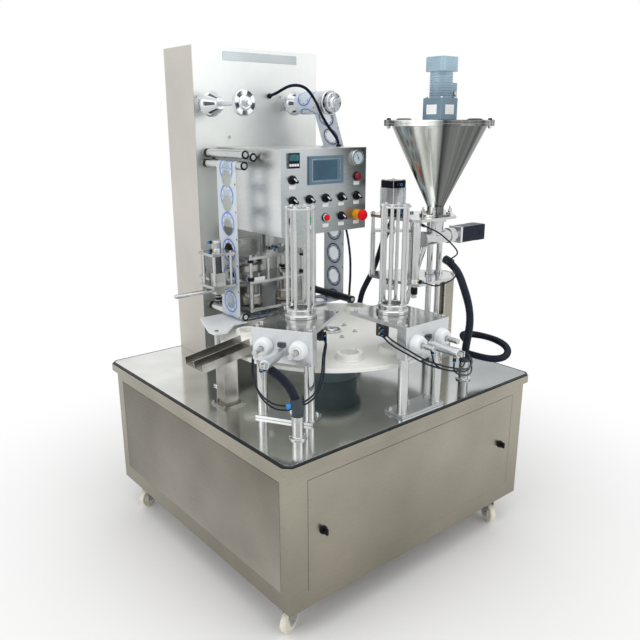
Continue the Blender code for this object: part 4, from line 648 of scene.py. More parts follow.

# %% [markdown]
# The hopper was polished while it turned. Such a cone shows two broad bright fans of reflected light
# on opposite sides of its axis and dark sheet between them; here these fans are a painted highlight,
# fixed to the cone. The fans come from the angle round the axis: the square of its cosine, roughened
# by a noise on the unit circle, chooses between a dark and a bright steel.

# %% Spun finish with painted highlight fans


def spun_finish_with_painted_fans(name, dark, light, centre, highlight_side):
    """Polished steel with painted highlight fans: tone follows cos^2 (a - a0), a the angle round Z."""
    made, tree, shader = new_material(name, "polished")
    offset = add(tree, "VectorMath", {0: object_place(tree), 1: (*centre, 0)}, operation="SUBTRACT")
    flat = add(tree, "VectorMath", {0: offset.outputs[0], 1: (1, 1, 0)}, operation="MULTIPLY")
    circle = add(tree, "VectorMath", {0: flat.outputs[0]}, operation="NORMALIZE").outputs[0]
    side = (math.cos(highlight_side), math.sin(highlight_side), 0)
    highlight_fan = add(tree, "VectorMath", {0: circle, 1: side}, operation="DOT_PRODUCT").outputs["Value"]
    square = add(tree, "Math", {0: highlight_fan, 1: highlight_fan}, operation="MULTIPLY").outputs[0]
    streaks = add(tree, "TexNoise", {"Vector": circle, "Scale": 5.0, "Detail": 3.0}).outputs["Fac"]
    total = add(tree, "Math", {0: streaks, 1: 0.5, 2: square}, operation="MULTIPLY_ADD").outputs[0]
    tones = (tuple(share * np.array(dark)) for share in (0.35, 1.75))
    under = mixed(tree, mapped(tree, streaks, 0.35, 0.62), *tones)
    connect(tree, shader, {
        "Metallic": 1.0,
        "Base Color": mixed(tree, mapped(tree, total, 0.90, 1.20), under, light),
        "Roughness": mapped(tree, streaks, 0.0, 1.0, 0.10, 0.22),
    })
    return made


HOPPER = (0.365, -0.240)
# The side of the hopper where the painted highlight fan is brightest.
HIGHLIGHT_SIDE = math.radians(194)
centre = at(*HOPPER, 0)[:2]
MIRROR = spun_finish_with_painted_fans("Spun hopper with painted highlight fans", (0.115, 0.12, 0.115), (0.84, 0.86, 0.82), centre, HIGHLIGHT_SIDE)
print("hopper finish:", MIRROR.name)

# %% [markdown]
# The plastics are dielectric, so their colour is the albedo. Acetal blocks are milky white with a
# soft sheen, the disc is a warmer ivory, and the motor is enamelled. Black plastic and rubber keep
# a low specular level, or the white surroundings would turn them grey.

# %% Plastics, rubber and enamel
IVORY = make_finish("Ivory disc", "ivory", (0.88, 0.885, 0.84), 0.42, 0.05, 4.0, 0.05, 0.05)
ACETAL = make_finish("White acetal", "acetal", (0.78, 0.80, 0.81), 0.34, 0.04, 8.0, 0.05, 0.04)
NYLON = make_finish("Cream nylon", "nylon", (0.78, 0.75, 0.64), 0.45, 0.08, 30.0, 0.06, 0.10)
BLACK = make_finish(
    "Black plastic", "black", (0.004, 0.005, 0.010), 0.26, 0.2, 30.0, 0.08, 0.10, shine=0.16
)
RUBBER = make_finish(
    "Black hose", "rubber", (0.009, 0.013, 0.026), 0.34, 0.2, 30.0, 0.08, 0.10, shine=0.18
)
GASKET = make_finish("Gasket", "rubber", (0.014, 0.017, 0.022), 0.45, 0.2, 20.0, 0.08, 0.10, shine=0.2)
CUFF = make_finish("Hose cuff", "rubber", (0.022, 0.038, 0.048), 0.30, 0.1, 30.0, 0.06, 0.05)
RED = make_finish("Red lens", "red", (0.74, 0.003, 0.012), 0.24, 0.06, 40.0, 0.04, 0.03, shine=0.15)
GREEN = make_finish("Green lens", "green", (0.006, 0.40, 0.10), 0.24, 0.06, 40.0, 0.04, 0.03, shine=0.25)
COLLAR = make_finish("Amber collar", "red", (0.90, 0.40, 0.015), 0.45, 0.05, 40.0, 0.05, 0.03, shine=0.2)
PILOT = make_finish("Pilot lens", "red", (0.22, 0.010, 0.022), 0.20, 0.06, 40.0, 0.04, 0.03, shine=0.3)
# Painted highlight: the motor's upper part is lighter, and its lower part fades to a darker enamel.
ENAMEL = make_finish(
    "Motor enamel", "motor", (0.33, 0.46, 0.55), 0.30, 0.10, 20.0, 0.06, 0.08, coat=0.3, shine=0.4,
    fades=[("Z", (0.15, 0.24, 0.31), 1.57, 1.64)],
)
NAVY = make_finish(
    "Servo case", "motor", (0.005, 0.009, 0.026), 0.32, 0.10, 20.0, 0.06, 0.06, shine=0.15
)
FITTING = make_finish("Blue fitting", "black", (0.02, 0.25, 0.66), 0.30, 0.06, 40.0, 0.04, 0.03)
LABEL = make_finish("Blank label", "acetal", (0.90, 0.91, 0.91), 0.40, 0.03, 40.0, 0.04, 0.02)
BEZEL = make_finish(
    "Screen bezel", "screen", (0.115, 0.195, 0.265), 0.36, 0.05, 12.0, 0.05, 0.04, shine=0.3
)
GLASS = make_finish("Screen glass", "screen", (0.028, 0.100, 0.160), 0.10, 0.30, 9.0, 0.03, 0, shine=0.4)
DIAL = make_finish("Dial face", "acetal", (0.62, 0.76, 0.84), 0.15, 0.04, 20.0, 0.04, 0, coat=0.5)
DRIVE = make_finish("Drive paint", "motor", (0.11, 0.16, 0.175), 0.38, 0.15, 8.0, 0.06, 0.06, shine=0.3)
DISPLAY = make_finish("Meter display", "screen", (0.02, 0.14, 0.16), 0.15, 0.5, 60.0, 0.03, 0, shine=0.3)
print("finishes:", len([m for m in bpy.data.materials if m.get("slot")]))

# %% [markdown]
# The lidding film is clear with a milky tint. Its print repeats every 95 mm: a blue ring with a
# paler ring in it, eight short ticks round them and a black register mark at the edge. The pattern
# is computed from the place along and across the film, so it needs no picture. Height minus X grows
# along every run of this film, upright or level, and a sawtooth of it gives the repeat. Each band of
# the ring is a comparison with a radius. The run that comes off the supply reel is printed darker.

# %% Printed film


def film_finish(name, repeat=0.095, start=0.05):
    """Milky film printed with rings every repeat metres, and register marks half-way between."""
    made, tree, shader = new_material(name, "film")
    split = add(tree, "SeparateXYZ", {0: object_place(tree)}).outputs

    def step(kind, *values):
        """One Math node on sockets or numbers."""
        return add(tree, "Math", enumerate(values), operation=kind).outputs[0]

    def band(value, centre, half, soft=0.0008):
        """1 where the value is within half of the centre, with a soft edge."""
        inside = step("SUBTRACT", half, step("ABSOLUTE", step("SUBTRACT", value, centre)))
        return step("MINIMUM", 1.0, step("MAXIMUM", 0.0, step("DIVIDE", inside, soft)))

    side = step("SUBTRACT", split["Y"], 0.1900 + MIDDLE[1])
    turns = step("DIVIDE", step("ADD", step("SUBTRACT", split["Z"], split["X"]), start), repeat)
    run = step("MULTIPLY", step("SUBTRACT", step("FRACT", turns), 0.5), repeat)
    distance = step("SQRT", step("ADD", step("MULTIPLY", side, side), step("MULTIPLY", run, run)))
    eight = step("COSINE", step("MULTIPLY", step("ARCTAN2", side, run), 8.0))
    ticks = step("MULTIPLY", step("GREATER_THAN", eight, 0.55), band(distance, 0.0310, 0.0022))
    blue = step("ADD", band(distance, 0.0385, 0.0032), ticks)
    pale = step("MAXIMUM", band(distance, 0.0450, 0.0022), band(distance, 0.0, 0.0240))
    black = step("MULTIPLY", band(side, -0.0530, 0.0036), band(run, 0.0440, 0.0036))
    later = step("GREATER_THAN", split["X"], 0.19 + MIDDLE[0])

    def printed(under, mask, tone):
        """A tone printed over another where the mask is 1; either may be a colour or a socket."""
        return mixed(tree, mask, under, tone, clamp_factor=True)

    ink = printed((0.055, 0.16, 0.62), later, (0.07, 0.05, 0.26))
    shade = printed((0.70, 0.75, 0.79), pale, (0.50, 0.66, 0.84))
    shade = printed(printed(shade, blue, ink), black, (0.02, 0.02, 0.03))
    clear = step("SUBTRACT", 1.0, step("MULTIPLY", 0.55, step("LESS_THAN", distance, 0.0270)))
    milky = step("MAXIMUM", step("MINIMUM", 1.0, blue), step("MULTIPLY", clear, 0.72))
    connect(tree, shader, {"Roughness": 0.22, "Base Color": shade, "Alpha": milky})
    return made


FILM = film_finish("Printed film")
print("film:", FILM.name, "with", len(FILM.node_tree.nodes), "nodes")

# %% [markdown]
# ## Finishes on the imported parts
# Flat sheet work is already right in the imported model, so it only needs its finish. The round and
# detailed parts get their own cells further on.

# %% Paint the sheet work and the blocks
paint(CABINET, "cabinet_frame front_panel table_frame")
paint(SIDE, "left_panel right_panel")
paint(TOWER, "tower")
paint(BOX_SIDE, "control_box")
paint(TABLE, "table_top")
paint(MIRROR, "hopper hopper_lid")
paint(DRIVE, "indexing_drive")
paint(IVORY, "turntable")
paint(ACETAL, "dispenser_a_frame dispenser_b_frame")
paint(PLATE, "sealing_frame film_coder")
paint(STEEL, "filler_stand press_head tamper agitator " + numbered("film_roller", 5))
paint(STEEL, "dispenser_a_magazine dispenser_b_magazine dispenser_a_pusher dispenser_b_pusher")
paint(CHUTE, "discharge_chute")
paint(ALUMINIUM, "sealing_head auger_drive rewind_reel supply_reel")
paint(ENAMEL, "mixer_motor")
paint(BEZEL, "touch_screen")
paint(BLACK, "latch_left latch_right " + numbered("selector", 7))
paint(RED, "emergency_stop push_button_1 push_button_3")
paint(GREEN, "push_button_2")
paint(ZINC, numbered("caster_fork", 4))
paint(NYLON, numbered("caster_wheel", 4))
paint(RUBBER, "hose_a hose_b")
paint(FILM, "film_web")
print("packed parts:", len(nodes))

# %% [markdown]
# ## Fasteners and fittings
# The same few bought parts come back all over the machine: cap screws with a hexagon socket, hexagon
# nuts, washers and push-in air fittings. Each is a short profile turned or pushed along its axis.

# %% Bought small parts
FREE = math.inf


def six_sided(place, axis, rows):
    """Rows of (round radius, hexagon radius, height). Each point takes the lesser of the two radii, and
    one that is FREE never counts. A hexagon's edge lies at cos 30 / cos(a mod 60 - 30) of its corner."""
    angle, rays, along = spokes(axis, 24)
    hexagon = np.cos(np.pi / 6) / np.cos((angle % (np.pi / 3)) - np.pi / 6)
    grid = np.stack([np.minimum(r, six * hexagon)[:, None] * rays + h * along for r, six, h in rows])
    return from_grid(grid + np.asarray(place, float))


def screw(place, axis=UP, radius=0.0045, height=0.0045):
    """A cap screw's head: a softened disc round a hexagonal socket that reaches half its height."""
    disc = [(radius, FREE, 0.0), (radius, FREE, 0.85 * height), (0.9 * radius, FREE, height)]
    socket = [(FREE, 0.55 * radius, height), (FREE, 0.52 * radius, 0.45 * height)]
    return six_sided(place, axis, disc + socket)


def nut(place, axis=UP, width=0.010, height=0.006):
    """A hexagon nut: its corners are cut by a cone, so the last row is rounder than the middle."""
    radius = width / 2 / np.cos(np.pi / 6)
    rows = [(0.93 * radius, radius, 0.0), (FREE, radius, 0.12 * height), (FREE, radius, 0.88 * height)]
    rows += [(0.93 * radius, radius, height), (0.45 * radius, FREE, height)]
    return six_sided(place, axis, rows)


def bolt(place, axis=UP, size=1.0):
    """A washer, a hexagon nut and the rounded end of its stud."""
    along, place = unit(axis), np.asarray(place, float)
    return [
        sleeve(place, place + along * 0.0014 * size, 0.0100 * size, 0.003, 0.0003, 28),
        nut(place + along * 0.0014 * size, along, 0.0130 * size, 0.0065 * size),
        dome(place + along * 0.0075 * size, along, 0.0036 * size, 0.002 * size, 16, 0.002 * size),
    ]


blue_rings, black_bodies, brass_nuts = [], [], []


def fit_air(place, axis=FRONT):
    """Adds a push-in fitting to the machine's shared lists: a brass hexagon, a black body, and the
    blue ring that frees the tube."""
    place, along = np.asarray(place, float), unit(axis)
    brass_nuts.append(nut(place, along, 0.0095, 0.005))
    black_bodies.append(rod(place + along * 0.005, place + along * 0.016, 0.0052, 0.0008, 20))
    ring = place + along * 0.016, place + along * 0.0195
    blue_rings.append(sleeve(*ring, 0.0050, 0.0026, 0.0005, 20))


print("socket screw:", len(screw((0, 0, 0))[0]), "points")

# %% [markdown]
# ## Table edge
# A rubber seal runs round the polished sheet, inside the folded lip, and shows as a dark line. Its
# corners are cut like those of the lip.

# %% Seal round the table sheet


def mitred(grow, cut):
    """The cabinet's rectangle grown on all sides, its corners cut at 45 degrees."""
    x, y = HALF_WIDTH + grow, HALF_DEPTH + grow
    across = np.array([x, x, x - cut, cut - x, -x, -x, cut - x, x - cut])
    along = np.array([cut - y, y - cut, y, y, y - cut, cut - y, -y, -y])
    return np.stack([across, along], 1)


seal = border(mitred(0.0170, 0.0215), mitred(0.0079, 0.0120), 0.6003, 0.6028)
show("table_seal", moved([seal], MIDDLE), GASKET)

# %% [markdown]
# ## Conduits and hoses
# The cables and air lines come up through two steel conduits, each held by a flange with three
# screws. The hoses are corrugated: their radius swells and shrinks a few hundred times along the
# path. A smooth rubber cuff joins each hose to its conduit, and the second hose has a spare loop.
# The length of every free hose or line, and its tightest bend, is measured along its route and printed.

# %% Conduits
TABLE_TOP = 0.604
CONDUITS = ((-0.424, -0.429), (0.328, -0.438))
conduit = mm("15.5 0, 27.2 0, 27.2 4.6, 18.5 5.8, 17.8 8.5, 17.8 67.5, 17.2 68.5, 15.2 68.5")
steel_parts = []
for centre in CONDUITS:
    steel_parts.append(lathe(conduit, 0.0008, at(*centre, TABLE_TOP), ring=True))
    for place in places_round(centre, 0.0225, (20, 140, 260)):
        steel_parts.append(screw(at(*place, TABLE_TOP + 0.0046), UP, 0.0030, 0.0024))
show("conduit_flanges", steel_parts, STEEL)

# %% Routes of the hoses, without the cabinet's shift
HOSE_A = mm(
    "-424 -429 656, -424 -429 690, -426.8 -422.6 725.6, -434.5 -405 758, -445.5 -379 783.5,"
    "-459 -348 801"
)
HOSE_B = mm(
    "430 -252 998, 423 -290 985, 396 -340 965, 345 -405 930, 318 -452 885, 312 -468 830,"
    "318 -455 770, 326 -441 715, 328 -438 656"
)
turns = places_round((0.438, -0.445), 0.09, (122, 90, 55, 18, -20, -58, -90, -122))
heights = (0.744, 0.734, 0.723, 0.713, 0.703, 0.693, 0.682, 0.682)
LOOP = [(x, y, z) for (x, y), z in zip(turns, heights)]
LOOP = [(0.326, -0.445, 0.752), *LOOP, (0.330, -0.443, 0.704)]
BEHIND_PRESS = mm(
    "338 -60 1157.2, 340 -50 1125, 352 0 1060, 346 22 990, 322 30 925, 328 75 862, 352 125 805,"
    "368 155 735, 372 165 665, 372 166 606"
)
BEHIND_BOX = mm(
    "215 300 1230, 255 298 1226, 318 275 1176, 352 235 1090, 362 212 980, 362 205 880, 356 205 780,"
    "352 205 690, 352 205 606"
)
OVER_REEL = mm(
    "65 353.5 1590, 65 310 1598, 66 220 1622, 69 140 1613, 82 100 1570, 108 96 1522, 141 96 1480,"
    "175 98 1448, 195 100 1426, 198 100 1407.5"
)


def path_length(path):
    """The sum of the steps between neighbouring points."""
    return float(np.linalg.norm(np.diff(path, axis=0), axis=1).sum())


def declare(piece, path, radius):
    """Prints the length of a hose or line along its route, and its tightest bend in diameters."""
    path = evenly(path, 38)
    length, bend = path_length(path), tightest_bend(path) / 2 / radius
    print(piece.name, "is", round(length, 3), "m long, bent to", round(bend, 1), "diameters")


print("longer hose:", round(path_length(HOSE_B), 3), "m between its chosen points")

# %% Corrugated hoses
HOSES = {
    "air_hose_a": (HOSE_A, 0.0138, "hose_a"),
    "air_hose_b": (HOSE_B, 0.0138, "hose_b"),
    "air_hose_loop": (LOOP, 0.0128, "hose_b"),
    "hose_behind_press": (BEHIND_PRESS, 0.0115, ()),
    "hose_behind_box": (BEHIND_BOX, 0.0055, ()),
    "hose_over_reel": (OVER_REEL, 0.0055, ()),
}
for name, (points, radius, node) in HOSES.items():
    path = eased_path(points, 8 * radius) + MIDDLE
    ridges = int(path_length(path) / (0.36 * radius))
    shape = tube(evenly(path, ridges * 8), radius - 0.0009, 20, ridges, 0.0009)
    declare(show(name, shape, RUBBER, replaces=node), path, radius)

# %% Cuffs and glands
CUFFS = {
    "-424 -429 672.9, -424 -429 695, -426.8 -422.6 725.6": 0.0172,
    "328 -438 672.9, 328 -438 690, 327.4 -437 712": 0.0182,
    "431 -244 1000, 430 -254 997.5, 427 -276 991": 0.0160,
}
cuffs = [tube(smooth_path(mm(route), 14) + MIDDLE, radius, 24) for route, radius in CUFFS.items()]
show("hose_cuffs", cuffs, CUFF)
glands = []
for x, y, size in ((0.372, 0.166, 0.030), (0.352, 0.205, 0.018)):
    glands.append(nut(at(x, y, 0.6043), UP, size * 1.15, 0.010))
    glands.append(sleeve(at(x, y, 0.614), at(x, y, 0.626), size * 0.50, size * 0.39, 0.001, 32))
glands.append(nut(at(0.198, 0.100, 1.4072), UP, 0.018, 0.007))
glands.append(nut(at(0.065, 0.3538, 1.590), FRONT, 0.018, 0.007))
glands.append(nut(at(0.2152, 0.300, 1.230), RIGHT, 0.018, 0.007))
glands.append(nut(at(0.338, -0.060, 1.1578), DOWN, 0.034, 0.010))
show("hose_glands", glands, BLACK)

# %% [markdown]
# ## Casters
# A pressed zinc fork swivels on a double row of balls and carries a cream nylon wheel. The wheel has
# a raised rim, a dished web and a hub, and the axle is a bolt with a nut.

# %% Casters, each in its own frame
CASTERS = {
    1: (-0.470, -0.465, 200),
    2: (0.470, -0.465, 250),
    3: (-0.470, 0.465, 195),
    4: (0.470, 0.465, 160),
}
TRAIL, WHEEL = 0.036, 0.037


def caster_wheel():
    """The wheel's profile, from bore to rim and back, turned about the axle."""
    half = mm("5.9 12, 12.5 12, 14.5 8.5, 28.5 7.8, 30.5 11, 34.5 10.8, 37 7")
    profile = np.concatenate([half, half[::-1] * (1, -1)])
    return [lathe(profile, 0.0012, (TRAIL, 0, WHEEL), BACK, 48, True)]


def caster_fork():
    """Race, crown and two tapered legs, with the axle's head and nut outside them."""
    race = mm(
        "9 96, 26.2 96, 26.8 98.5, 26.2 101, 24.5 102.2, 26.2 103.4, 26.8 107, 26.2 110.6, 9 110.6"
    )
    leg = mm("-20.5 97.8, 23 26.8, 30 26.2, 42 26.2, 47.4 29, 48.2 97.8")
    shapes = [lathe(race, 0.0008, (0, 0, 0))]
    shapes.append(block((-0.0205, -0.0168, 0.0954), (TRAIL + 0.0122, 0.0168, 0.0990), 0.0010, 0.004))
    for side in (-0.0151, 0.0151):
        shapes.append(prism(leg, side - 0.0017, side + 0.0017, "XZ", 0.0006, 0.003))
    for side in (-0.0140, 0.0140):
        corner = (TRAIL + 0.0105, side + 0.002, 0.0965)
        shapes.append(block((-0.0185, side - 0.002, 0.0905), corner, 0.0009))
    shapes.append(rod((TRAIL, -0.0190, WHEEL), (TRAIL, 0.0190, WHEEL), 0.0050, 0.0006, 20))
    for side in (1, -1):
        shapes.append(nut((TRAIL, side * 0.0168, WHEEL), (0, side, 0), 0.0125, 0.0028))
    return shapes


plates = []
for number, (x, y, angle) in CASTERS.items():
    for part, make, finish in (("wheel", caster_wheel, NYLON), ("fork", caster_fork, ZINC)):
        node = f"caster_{part}_{number}"
        show(f"{part}_{number}", moved(make(), at(x, y, 0), angle), finish, node, node)
    for dx, dy in product((-0.034, 0.034), (-0.029, 0.029)):
        plates.append(nut(at(x + dx, y + dy, 0.1110), DOWN, 0.010, 0.005))
show("caster_nuts", plates, ZINC)

# %% [markdown]
# ## Wing latches
# The front cover hangs from two quarter-turn latches: a black rosette with a raised rim and a wing
# that narrows towards its ends.

# %% Latches
rosette = mm("4 0, 13.2 0, 13.2 3, 12 4.6, 10.2 5, 8.8 4, 3 4")
wing = mm("-3.5 -10.5, 3.5 -10.5, 4.4 0, 3.5 10.5, -3.5 10.5, -4.4 0")
for name, x in {"latch_left": -0.4235, "latch_right": 0.4305}.items():
    parts = [lathe(rosette, 0.0006, (0, 0, 0), FRONT, 44)]
    parts.append(rod((0, -0.003, 0), (0, -0.009, 0), 0.0066, 0.001))
    parts.append(prism(wing, 0.0065, 0.0198, "XZ", 0.0012, 0.002))
    parts.append(rod((0, 0.0015, 0), (0, 0.0170, 0), 0.0078, 0.0008))
    parts.append(block((-0.007, 0.0135, -0.007), (0.007, 0.0175, 0.026), 0.0008))
    dress(name, "_wing", moved(parts, at(x, -0.5453, 0.353)), BLACK)

# %% [markdown]
# ## Turntable
# The disc is cut from a thick ivory plastic plate. Each nest is a flanged ring in which a capsule
# hangs by its rim, held by cone screws beside it. The hub is bolted down under a domed cap with a
# ring of nuts round it.

# %% Disc edge, nests and hub cap
DISC, NEST_CIRCLE, NESTS, DISC_TOP = (0.0, -0.090), 0.300, 12, 0.767
edge = mm("388 754.7, 400.4 754.7, 400.4 767.3, 388 767.3")
hub = mm("60 734.6, 110.4 734.6, 110.4 755.2, 60 755.2")
nest = mm(
    "30.7 754.5, 30.7 783.5, 34.5 786.5, 34.5 789.3, 42.8 789.3, 42.8 772, 47 770, 47 767.2,"
    "40 766.5, 40 754.5"
)
disc_parts = [lathe(edge, 0.0014, at(*DISC, 0), sides=180, ring=True)]
disc_parts.append(lathe(hub, 0.0012, at(*DISC, 0), sides=96, ring=True))
small_steel = []
for angle in np.arange(NESTS) * 360 / NESTS:
    (centre,) = places_round(DISC, NEST_CIRCLE, [angle])
    disc_parts.append(lathe(nest, 0.0007, at(*centre, 0), sides=56, ring=True))
    for place in places_round(centre, 0.0385, angle + np.array([45, 135, 225, 315])):
        small_steel.append(screw(at(*place, 0.7893), UP, 0.0021, 0.0006))
cap = mm("1 0, 36.3 0, 36.3 6.5, 33.5 8.5, 20 8.5, 18 12, 8 13.5, 1 13.5")
for place in places_round(DISC, 0.085, range(15, 375, 60)):
    small_steel += bolt(at(*place, DISC_TOP), UP, 0.9)
show("disc_edges", disc_parts, IVORY, "turntable", sharp=50)
show("disc_screws", small_steel, STEEL, "turntable")
show("hub_cap", lathe(cap, 0.0010, at(*DISC, DISC_TOP), sides=56), STEEL, "turntable")

# %% [markdown]
# The indexing drive under the disc stands on a round pedestal with a ring of screws. The dark cone
# of the drive's shaft shows between the dispensers' legs.

# %% Pedestal
pedestal = mm("70 604.3, 95.5 604.3, 95.5 708, 110.6 710, 110.6 734.3, 70 734.3")
show("pedestal_skin", lathe(pedestal, 0.0015, at(*DISC, 0), sides=96, ring=True), DRIVE)

# %% [markdown]
# ## Capsule dispensers
# Each dispenser stands on two posts beside the disc. Its head is one aluminium block under a thick
# polished plate that reaches over the disc. Two big plastic bushings carry the pusher's guide rods,
# and a round air cylinder between them moves the pusher. All of it is built once in the unit's own
# frame, with X away from the disc, and then turned to its station.

# %% The dispenser's frame, in its own frame
STATIONS = {"a": 210, "b": 270}


def dispenser_plates(low, high, trim):
    """The top plate's parts round the magazine's hole, from low to high, trimmed at the edges."""
    edge = 0.0975 - trim
    shapes = [
        prism(box_outline(0.052, -edge, 0.1555 - trim, edge), low, high, soft=0.0004, corner=0.003),
        prism(box_outline(trim - 0.098, -edge, -0.050, edge), low, high, soft=0.0004, corner=0.003),
    ]
    for y0, y1 in ((-edge, -0.0500), (0.0500, edge)):
        shapes.append(prism(box_outline(-0.0505, y0, 0.0525, y1), low, high, soft=0.0004))
    ring = np.array(places_round((0, 0), 0.0330, np.arange(40) * 9.0 + 45))
    return [*shapes, border(np.clip(ring * 2.2, -0.0505, 0.0505), ring, low, high)]


def dispenser_valves(side):
    """A small manifold under the inner end of the plate."""
    near, far = sorted((side * 0.071, side * 0.095))
    shapes = [block((0.022, near, 0.848), (0.056, far, 0.8898), 0.001)]
    return shapes + [screw((x, side * 0.083, 0.848), DOWN, 0.0030, 0.0025) for x in (0.028, 0.050)]


def dispenser_steel():
    """Posts with their collars, and the screws in the plates."""
    shapes = []
    for side in (-1, 1):
        y = side * 0.0785
        shapes.append(rod((0.130, y, 0.6130), (0.130, y, 0.7985), 0.0163, 0.0010, 48))
        shapes.append(sleeve((0.130, y, 0.6133), (0.130, y, 0.6178), 0.0185, 0.0160, 0.0008, 48))
        shapes += bolt((0.085, side * 0.084, 0.6133), UP, 0.9)
        for x in (0.140, 0.108, -0.080):
            shapes.append(screw((x, side * 0.086, 0.9030), UP, 0.0055, 0.0060))
        shapes.append(screw((0.1552, side * 0.084, 0.8090), RIGHT, 0.0050, 0.0016))
    shapes += bolt((0.0790, 0.0, 0.6133), UP, 1.3)
    flange = places_round((0, 0), 0.0462, (30, 150, 270))
    return shapes + [screw((*place, 0.9140), UP, 0.0038, 0.0036) for place in flange]


def dispenser_bushings():
    """Two bushings with a rounded shoulder, open for their rods."""
    profile = mm("9 -1, 28.6 -1, 28.6 4, 26.4 19, 23.6 26.2, 19.5 28, 9 28")
    return [lathe(profile, 0.0012, (0.155, y, 0.846), RIGHT, 56, True) for y in (-0.056, 0.056)]


def dispenser_cylinder(z=0.834):
    """The air cylinder: a tube between two heads, and a collar on the block."""
    rows = (
        (166, 262, 13.6, 0.8), (155.5, 170, 14.3, 1.2), (256, 279.5, 14.3, 1.8), (155.2, 159, 17, 0.8)
    )
    return [
        rod((start / 1000, 0, z), (end / 1000, 0, z), radius / 1000, soft / 1000, 48)
        for start, end, radius, soft in rows
    ]


def dispenser_clevis(z=0.834):
    """The cylinder's clevis and its pin."""
    cheeks = [
        block((0.278, y - 0.0022, z - 0.008), (0.294, y + 0.0022, z + 0.008), 0.0007, 0.002)
        for y in (-0.0058, 0.0058)
    ]
    return [*cheeks, rod((0.287, -0.0082, z), (0.287, 0.0082, z), 0.0026, 0.0004, 20)]


def dispenser_bracket():
    """The dark bracket that holds the cylinder over its bore, and its screw."""
    bracket = prism(box_outline(-0.013, 0.8480, 0.013, 0.8640), 0.1548, 0.1600, "YZ", 0.0008, 0.004)
    return [bracket, screw((0.1600, 0.0, 0.857), RIGHT, 0.0034, 0.0030)]


print("steel parts in each dispenser:", len(dispenser_steel()))

# %% [markdown]
# The magazine is a flanged base, six polished rods and a ring with a nut on each rod. Capsules stand
# in it as a stack, so the rods leave a clear round shaft between them.

# %% The magazine and the pusher, in the same frame


def magazine():
    """Stepped flange, top ring, six rods with their nuts."""
    base = mm("32.5 903.3, 52.3 903.3, 52.3 913.5, 50 916, 46 917, 46 931, 44 933.2, 32.5 933.2")
    top = mm("32.5 1240, 49.2 1240, 49.2 1245.2, 32.5 1245.2")
    shapes = [lathe(base, 0.0009, (0, 0, 0), sides=64, ring=True)]
    shapes.append(lathe(top, 0.0010, (0, 0, 0), sides=64, ring=True))
    for x, y in places_round((0, 0), 0.040, range(0, 360, 60)):
        shapes.append(rod((x, y, 0.930), (x, y, 1.2510), 0.0056, 0.0012, 24))
        shapes.append(nut((x, y, 1.2452), UP, 0.0135, 0.0045))
        shapes.append(nut((x, y, 0.9332), UP, 0.0135, 0.0050))
    return shapes


def pusher():
    """The cross bar, the slide that parts the lowest capsule, and two guide rods."""
    shapes = [block((0.097, -0.068, 0.832), (0.111, 0.068, 0.887), 0.0010, 0.002)]
    shapes.append(block((0.034, -0.030, 0.876), (0.110, 0.030, 0.888), 0.0008, 0.006))
    for y in (-0.056, 0.056):
        shapes.append(rod((0.109, y, 0.846), (0.2290, y, 0.846), 0.0082, 0.0012, 40))
    return [*shapes, rod((0.109, 0, 0.834), (0.168, 0, 0.834), 0.0060, 0.0008, 28)]


for letter, angle in STATIONS.items():
    (centre,) = places_round(DISC, NEST_CIRCLE, [angle])
    foot = block((0.069, -0.096, 0.6043), (0.152, 0.096, 0.6133), 0.0009, 0.003)
    unit_parts = {
        "plates": ([foot, *dispenser_plates(0.8900, 0.9027, 0.0)], BRIGHT),
        "top": (dispenser_plates(0.9022, 0.9030, 0.0012), PLATE),
        "valves": (dispenser_valves(1 if letter == "a" else -1), DARK),
        "steel": (dispenser_steel(), STEEL),
        "block": ([block((0.115, -0.0975, 0.797), (0.155, 0.0975, 0.8901), 0.0012, 0.003)], BRIGHT),
        "bushings": (dispenser_bushings(), ACETAL),
        "cylinder": (dispenser_cylinder(), BRIGHT),
        "clevis": (dispenser_clevis(), STEEL),
        "bracket": (dispenser_bracket(), DARK),
    }
    name = f"dispenser_{letter}_"
    for part, (shapes, finish) in unit_parts.items():
        show(name + part, moved(shapes, at(*centre, 0), angle), finish, replaces=name + "frame")
    stack = moved(magazine(), at(*centre, 0), angle)
    show(name + "magazine_rods", stack, STEEL, BASE, name + "magazine")
    dress(name + "pusher", "_rods", moved(pusher(), at(*centre, 0), angle), STEEL)

# %% [markdown]
# ## Hopper and mixer
# The hopper is spun from sheet and polished inside and out. Its rim is a flat flange with two ears,
# clamped to the lid, and its neck ends in a flange on the upper plate. The mixer's gear motor stands
# on the lid: a square gearbox, a ribbed round body and a fan cowl with rounded corners.

# %% Hopper
RIM, LID, SEAT = 1.489, 1.4893, 1.1683
cone = mm(
    "162 1489, 175 1489, 175.3 1481, 165.5 1480.8, 30.3 1202, 30.3 1176.3, 56.3 1176.3, 56.3 1168.3,"
    "27 1168.3, 27 1203"
)
lid = mm("8 1489.3, 174.8 1489.3, 175.3 1497.8, 170 1501.1, 8 1501.3")
knob = mm("1 0, 27 0, 26.2 2.8, 20.5 5, 1 5.2")
hopper_parts = [lathe(cone, 0.0010, at(*HOPPER, 0), sides=128, ring=True)]
lid_parts = [lathe(lid, 0.0012, at(*HOPPER, 0), sides=128, ring=True)]
hopper_screws, knobs = [], []
for ray in (-unit((0.765, -0.644)), unit((0.765, -0.644))):
    ear, seat = (np.array(HOPPER) + reach * ray for reach in (0.177, 0.124))
    hopper_parts.append(upright(*ear, RIM - 0.008, RIM - 0.0001, 0.0162, 0.0010, 36))
    hopper_screws += bolt(at(*ear, RIM - 0.008), DOWN, 0.9)
    lid_parts.append(upright(*ear, LID, LID + 0.012, 0.0162, 0.0012, 36))
    knobs.append(dome(at(*ear, LID + 0.012), UP, 0.0075, 0.0035, 24, 0.0030))
    knobs.append(lathe(knob, 0.001, at(*seat, LID + 0.012)))
